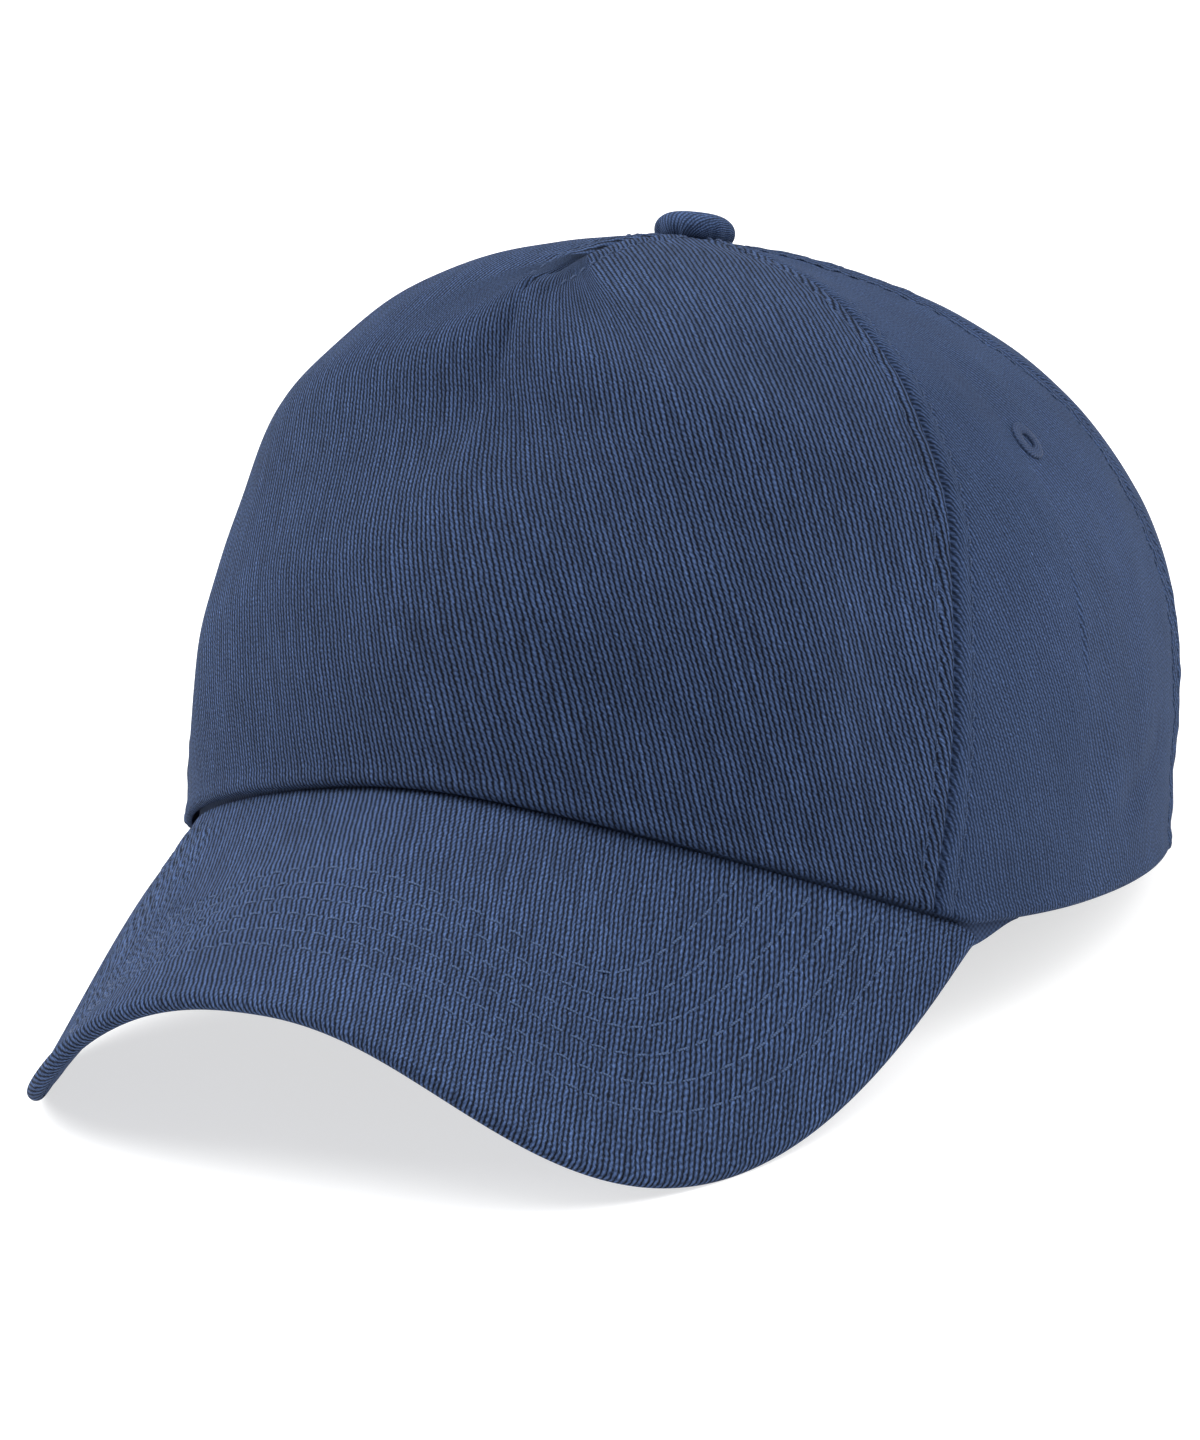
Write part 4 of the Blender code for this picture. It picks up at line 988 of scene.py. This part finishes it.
def make_visor(look, lining, thread):
    board_depth = VISOR_CLOTH + GAP
    under_depth = board_depth + BOARD + GAP
    thickness = under_depth + VISOR_CLOTH
    radius = thickness / 2
    top_limit, under_limit = math.radians(88), math.radians(84)

    def reach(psi):
        return np.linalg.norm(visor_edge(psi) - visor_root(psi)[0], axis=-1)

    psi, share = visor_grid(top_limit, VISOR_GRID, lambda p: root_share(p, VISOR_CLOTH), np.ones_like)
    point, normal = visor_top(psi, share), visor_normal(psi, share)
    # Close to the crown the cloth stays on the plain form, so that it clears the crown's edge.
    calm = smooth(share * reach(psi), 1.5 * MM, 5 * MM)
    flat = point + normal * (visor_relief(*from_edge(point)) * calm)[..., None]
    # The cover turns round the outer edge in a half circle.
    bend = np.linspace(math.pi, 0, 13)[:-1, None]
    wrap_psi = psi[:1] * np.ones((12, 1))
    edge_normal = visor_normal(wrap_psi, np.ones_like(wrap_psi))
    outward = unit(np.cross(visor_edge(wrap_psi + 0.01) - visor_edge(wrap_psi - 0.01), edge_normal))

    def turned(size):
        rise = (size * np.cos(bend) - radius)[..., None] * edge_normal
        return visor_edge(wrap_psi) + outward * (size * np.sin(bend))[..., None] + rise

    wrap = turned(radius)
    outer = np.concatenate([wrap, flat])
    inner = np.concatenate([turned(radius - VISOR_CLOTH), point - normal * VISOR_CLOTH])
    unrolled = visor_edge(wrap_psi) + outward * radius * bend[..., None]
    uv = visor_uv(np.concatenate([unrolled, point]))
    cover = cap_sheet("cloth_visor_top", "visor_top_cover", outer, inner, uv, look)

    psi, share = visor_grid(
        under_limit, LINING_GRID, lambda p: root_share(p, thickness), lambda p: 1 - 2 * GAP / reach(p))
    point, normal = visor_top(psi, share), visor_normal(psi, share)
    calm = smooth(share * reach(psi), 4 * MM, 8 * MM) * LINING_RELIEF
    low = point - normal * (thickness + visor_relief(*from_edge(point)) * calm)[..., None]
    high = point - normal * under_depth
    uv = visor_uv(point)
    under = cap_sheet("cloth_visor_under", "visor_under_cover", high, low, uv, lining)

    # Stitching follows lines at equal distances from the outer edge.
    columns, end_gap = 420, 12
    along = np.linspace(EDGE_LENGTHS[end_gap], EDGE_LENGTHS[-1 - end_gap], columns)
    psi = np.interp(along, EDGE_LENGTHS, EDGE_PSI)
    share = np.linspace(1, 0, 90)[:, None] * np.ones((1, columns))
    distance, _ = from_edge(visor_top(psi[None, :] * np.ones_like(share), share))
    ends_at = root_share(psi, VISOR_CLOTH) + 1.5 * MM / reach(psi)
    top_rows, low_rows = [], []
    for row in range(VISOR_ROWS):
        want = VISOR_ROW_START + row * VISOR_ROW_STEP
        at = np.array([
            np.interp(want, np.maximum.accumulate(distance[:, k]), share[:, k]) for k in range(columns)])
        where = np.flatnonzero((distance.max(axis=0) > want) & (at > ends_at))
        run = slice(where[0], where[-1] + 1)
        base, normal = visor_top(psi[run], at[run]), visor_normal(psi[run], at[run])
        relief = visor_relief(*from_edge(base))[:, None]
        top_rows.append((base + normal * relief, normal))
        low_rows.append((base - normal * (thickness + LINING_RELIEF * relief), -normal))
    sewn = cap_stitches("stitching_visor_top", top_rows, VISOR_STITCH_PITCH, thread)
    sewn_low = cap_stitches("stitching_visor_under", low_rows, VISOR_STITCH_PITCH, thread)


# Straps

def strap_grid(start, end, low, high, columns, rows):
    """Rows up a strap and columns to the left, from start on the wearer's right to end on the left."""
    away = np.linspace(end, start, columns)[None, :] * np.ones((rows, 1))
    up = low + (high - low) * np.linspace(0, 1, rows)[:, None] * np.ones_like(away)
    return away, up


def strap_piece(name, nodes, away, up, depth, thickness, look, relief=0.0, back=0.0):
    """A strap or patch. relief stands proud of its outer face, and back of its inner face."""
    angle = back_angle(away)
    outer = layer_point(angle, up, depth - relief)
    inner = layer_point(angle, up, depth + thickness + back)
    piece = closed_sheet(name, outer, inner, slanted_uv(away, up, RIB_SLANT), look)
    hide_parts(*nodes)
    return piece


def strap_rows(start, end, depth, outside):
    """Stitching round the edge of a strap."""
    low, high = STRAP_LOW + STRAP_ROW, STRAP_LOW + STRAP_HEIGHT - STRAP_ROW
    left, right = end - STRAP_ROW, start + STRAP_ROW
    corners = [(left, low), (right, low), (right, high), (left, high)]
    rows = []
    for (a0, u0), (a1, u1) in zip(corners[:3], corners[1:]):
        away, up = np.linspace(a0, a1, 80), np.linspace(u0, u1, 80)
        angle = back_angle(away)
        normal = crown_normal(angle, up)
        rows.append((layer_point(angle, up, depth(away)), normal if outside else -normal))
    return rows


def make_straps(look, thread, loops, hooks):
    top = STRAP_LOW + STRAP_HEIGHT
    low, high = STRAP_LOW + PATCH_MARGIN, top - PATCH_MARGIN
    loop_depth = BAND_DEPTH + STRAP + GAP
    hook_depth = loop_depth + PATCH + GAP
    under_depth = hook_depth + PATCH + GAP

    def inside(away, up, start, end, low, high):
        """How far inside its nearest edge a point of a strap or patch is."""
        return np.minimum.reduce([up - low, high - up, away - start, end - away])

    def edge_roll(away, up, start, end):
        """Rounded edges, and the groove of the stitching inside them."""
        within = inside(away, up, start, end, STRAP_LOW, top)
        roll = 0.14 * MM * (smooth(within, 0.0, 0.9 * MM) - 1)
        return roll - 0.10 * MM * hump(within, STRAP_ROW, 0.45 * MM)

    def level(away):
        return np.full_like(away, BAND_DEPTH)

    def under(away):
        return BAND_DEPTH + (under_depth - BAND_DEPTH) * smooth(
            away, -OPENING_HALF_WIDTH, FOLD_CLEAR_OF_PANEL - OPENING_HALF_WIDTH)

    def anchor(distance):
        return tuple(place(layer_point(back_angle(distance), STRAP_LOW + STRAP_HEIGHT / 2, BAND_DEPTH)))

    # Each strap and its stitching are baked in place. For each, a point beside its fold that stays with the
    # cap and one that would swing are found, and nothing uses them.
    for name, body, (start, end), depth, row_depth, outside, fixed, swung in (
        ("over_strap", "upper_strap", (-OVER_STRAP_END, STRAP_TAB), level, 0.10 * MM, True,
         FOLD_LINE + 4 * MM, FOLD_LINE - 7 * MM),
        ("under_strap", "lower_strap", (-STRAP_TAB, UNDER_STRAP_END), under, STRAP, False,
         -UNDER_STRAP_FOLD - 3 * MM, -UNDER_STRAP_FOLD + 4 * MM),
    ):
        away, up = strap_grid(start, end, STRAP_LOW, top, 110, 26)
        strap = strap_piece("cloth_" + name, [name, name + "_root"], away, up, depth(away), STRAP, look,
                            edge_roll(away, up, start, end))
        rows = strap_rows(start, end, lambda along: depth(along) + row_depth, outside)
        sewn = stitches("stitching_" + name, rows, STITCH_PITCH, thread)
        for piece in (strap, sewn):
            anchor(fixed)
            anchor(swung)
            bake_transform(piece)

    # The loop patch is a pile of small loops, on the strap's inner side.
    away, up = strap_grid(*LOOP_PATCH_SPAN, low, high, 150, 60)
    tuft = 0.16 * MM * DICE.random(away.shape) + 0.06 * MM * np.sin(away * 5200) * np.sin(up * 4700)
    tuft = (tuft - 0.16 * MM) * smooth(inside(away, up, *LOOP_PATCH_SPAN, low, high), 0.0, 1.2 * MM)
    loop = strap_piece("loop_pile_patch", ["loop_patch"], away, up, loop_depth, PATCH, loops,
                       back=tuft)
    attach(loop, "upper_strap")

    # The hook patch is a thin tape with rows of small hooks on its outer side.
    hook_height, hook_step = 0.35 * MM, 1.2 * MM
    away, up = strap_grid(*HOOK_PATCH_SPAN, low, high, 60, 16)
    tape_depth = hook_depth + hook_height
    hook = strap_piece("hook_tape_patch", ["hook_patch"], away, up, tape_depth, PATCH - hook_height, hooks)
    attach(hook, "lower_strap")
    count = int((high - low) / hook_step)
    along = np.linspace(HOOK_PATCH_SPAN[0] + 1 * MM, HOOK_PATCH_SPAN[1] - 1 * MM, 90)
    angle, rows = back_angle(along), []
    for k in range(count):
        up = np.full_like(along, low + (k + 0.5) * (high - low) / count)
        rows.append((layer_point(angle, up, tape_depth), crown_normal(angle, up)))
    teeth = stitches("hooks", rows, 1.0 * MM, hooks, 0.15 * MM, 0.55)
    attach(teeth, "lower_strap")


# Button

def make_button(look):
    """A flattened dome of gathered cloth, turned in underneath, and cut as a flat circle."""
    cloth, cut_radius = 0.7 * MM, 0.011
    normal = unit(np.array([0.0, TOP_SLOPE, 1.0]))
    centre = np.array([0.0, APEX_BACK, CROWN_HEIGHT])
    side = np.array([1.0, 0.0, 0.0])
    ahead = np.cross(normal, side)
    steps, rows = 192, 34
    around = np.linspace(0, 2 * math.pi, steps, endpoint=False)[None, :]
    # From the middle of the top, over the shoulder, to the tuck underneath
    down = np.linspace(0.0, 1, rows)[1:, None]
    turn = down * math.radians(158)
    lowest, highest = -0.5 * MM, BUTTON_HEIGHT - 0.2 * MM
    middle = lowest + 0.42 * (highest - lowest)
    folds = ((13, 0.5, 0.3), (19, 0.35, 2.1), (8, 0.35, 4.0), (27, 0.2, 1.1))
    gather = sum(share * np.sin(count * around + phase) for count, share, phase in folds)

    def face(inset):
        widest = BUTTON_RADIUS - inset
        under = 0.6 + 0.4 * np.sqrt(np.sin(turn))
        radius = widest * np.where(turn > math.pi / 2, under, np.sin(turn) ** 0.62)
        radius = radius + 0.26 * MM * gather * smooth(down, 0.28, 0.75)
        above, below = highest - inset - middle, middle - lowest - inset
        height = middle + np.where(turn < math.pi / 2, above, below) * np.cos(turn)
        height = height + 0.10 * MM * gather * smooth(down, 0.2, 0.45) * (1 - smooth(down, 0.5, 0.8))
        ring = np.cos(around)[..., None] * side + np.sin(around)[..., None] * ahead
        points = centre + radius[..., None] * ring + height[..., None] * normal
        return np.concatenate([points.reshape(-1, 3), [centre + normal * (highest - inset)]])

    count = (rows - 1) * steps
    index = np.arange(count).reshape(rows - 1, steps)
    after = np.roll(index, -1, axis=1)
    quads = np.stack([index[:-1], index[1:], after[1:], after[:-1]], -1).reshape(-1, 4)
    first = np.full(steps, count)
    fan = np.stack([first, index[0], after[0]], -1)
    outside = np.concatenate([quads[:, [0, 1, 2]], quads[:, [0, 2, 3]], fan])
    inside = outside[:, ::-1] + count + 1
    low, next_low = index[-1], after[-1]
    hem = np.concatenate([
        np.stack([low, low + count + 1, next_low + count + 1], -1),
        np.stack([low, next_low + count + 1, next_low], -1),
    ])
    points = np.concatenate([face(0.0), face(cloth)])
    laid = turn / math.pi * 2 * BUTTON_RADIUS * 1.3
    uv = np.stack([laid * np.cos(around), laid * np.sin(around)], -1).reshape(-1, 2)
    uv = np.tile(np.concatenate([uv, [[0, 0]]]), (2, 1))
    faces = np.concatenate([outside, inside, hem])
    piece = make_mesh("cloth_button", points, faces, uv, look, 60)
    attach(piece, "cap")
    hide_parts("button_cover")


# Studio

def toward(azimuth, elevation):
    """The direction of something seen at an azimuth from the front, counted to the wearer's left."""
    level = math.cos(elevation)
    return Vector((math.sin(azimuth) * level, -math.cos(azimuth) * level, math.sin(elevation)))


def make_studio():
    grey = (FLOOR_GREY,) * 3
    n = Nodes("studio_floor", grey, 0.9)
    tone = n.range(n.noise(n.object_point(), 3.0), 0, 1, 0.985, 1.0)
    n.paint(n.scaled(grey, tone))
    n.set(Specular_IOR_Level=0.0, Emission_Color=WHITE, Emission_Strength=FLOOR_GLOW)
    mesh = bpy.data.meshes.new("floor")
    h = FLOOR_HALF_SIZE
    mesh.from_pydata([(-h, -h, 0), (h, -h, 0), (h, h, 0), (-h, h, 0)], [], [(0, 1, 2, 3)])
    mesh.materials.append(n.material)
    add_object("floor", mesh)

    for name, (azimuth, elevation, softness, strength) in SUNS.items():
        light = bpy.data.lights.new(name, "SUN")
        light.energy = strength
        light.angle = math.radians(softness)
        lamp = add_object(name, light)
        source = toward(math.radians(azimuth), math.radians(elevation))
        lamp.rotation_mode = "QUATERNION"
        lamp.rotation_quaternion = source.to_track_quat("Z", "Y")

    # A dim sky, seen as plain white by the camera
    world = bpy.data.worlds.new("studio")
    bpy.context.scene.world = world
    world.use_nodes = True
    nodes, links = world.node_tree.nodes, world.node_tree.links
    sky, seen = nodes["Background"], nodes.new("ShaderNodeBackground")
    for background, strength in ((sky, SKY), (seen, 1.0)):
        background.inputs["Color"].default_value = WHITE
        background.inputs["Strength"].default_value = strength
    path, mix = nodes.new("ShaderNodeLightPath"), nodes.new("ShaderNodeMixShader")
    links.new(path.outputs["Is Camera Ray"], mix.inputs[0])
    links.new(sky.outputs[0], mix.inputs[1])
    links.new(seen.outputs[0], mix.inputs[2])
    links.new(mix.outputs[0], nodes["World Output"].inputs[0])
    bpy.context.scene.view_settings.view_transform = "Standard"


def make_camera():
    """The view from the front and the wearer's left, a little above, turned a little."""
    back = toward(CAMERA_AZIMUTH, CAMERA_ELEVATION)
    right = Vector((math.cos(CAMERA_AZIMUTH), math.sin(CAMERA_AZIMUTH), 0))
    up = back.cross(right)
    turned_right = math.cos(CAMERA_ROLL) * right + math.sin(CAMERA_ROLL) * up
    turned_up = -math.sin(CAMERA_ROLL) * right + math.cos(CAMERA_ROLL) * up
    data = bpy.data.cameras.new("camera")
    camera = add_object("camera", data)
    axes = Matrix((turned_right, turned_up, back)).transposed()
    centre = Vector(place(CAMERA_TARGET)) + back * CAMERA_DISTANCE
    camera.matrix_world = Matrix.Translation(centre) @ axes.to_4x4()
    data.sensor_fit = "AUTO"
    data.sensor_width, data.lens = SENSOR_MM, LENS_MM
    data.shift_x, data.shift_y = SHIFT_X, SHIFT_Y
    data.clip_start, data.clip_end = 0.05, 60
    bpy.context.scene.camera = camera


crown_twill = twill("crown_twill", NAVY)
# The side and back panels take a darker copy of the crown's navy twill: painted shade.
crown_twill_side_painted_shade = twill(
    "crown_twill_side_painted_shade", shade(NAVY, 0.80)[:3], 0.80 * MM, 0.20 * MM, 0.40, fine=1.3, streaks=0.12)
# The visor's twill is a lighter copy of the navy: painted light.
visor_twill = twill("visor_twill", shade(NAVY, 1.18)[:3], 0.87 * MM, 0.50 * MM)
lining_twill = twill("lining_twill", NAVY, 0.9 * MM, 0.18 * MM, 0.5)
button_twill = twill("button_twill", NAVY, 0.85 * MM, 0.2 * MM, 0.4)
strap_twill = twill("strap_twill", NAVY)
band_weave = plain_weave("sweatband_cotton", NAVY, 0.55 * MM, 0.12 * MM)
tape_weave = plain_weave("seam_tape", (0.032, 0.054, 0.116), 0.40 * MM, 0.08 * MM)
sewing_thread = thread_look("thread", THREAD_NAVY)
crown_thread = thread_look("crown_thread", (0.033, 0.056, 0.118))
eyelet_thread = thread_look("eyelet_thread", (0.026, 0.045, 0.100))
loop_pile = pile("loop_pile", (0.020, 0.030, 0.060))
hook_plastic = moulded("hook_tape", (0.012, 0.021, 0.044), 0.65)
board_plastic = moulded("board", (0.10, 0.11, 0.13), 0.5)
pressed_metal = moulded("button_metal", (0.70, 0.70, 0.72), 0.32, 1.0, 400.0)

make_crown(crown_twill, crown_twill_side_painted_shade, crown_thread)
make_eyelets(eyelet_thread)
make_tapes(tape_weave, crown_thread)
make_binding(tape_weave, crown_thread)
make_sweatband(band_weave, crown_thread)
make_visor(visor_twill, lining_twill, sewing_thread)
make_straps(strap_twill, sewing_thread, loop_pile, hook_plastic)
make_button(button_twill)
for node, look in (
    ("visor_board", board_plastic), ("button_rivet", pressed_metal), ("button_washer", pressed_metal),
):
    materials = frame["nodes"][node].data.materials
    materials.clear()
    materials.append(look)
make_studio()
make_camera()
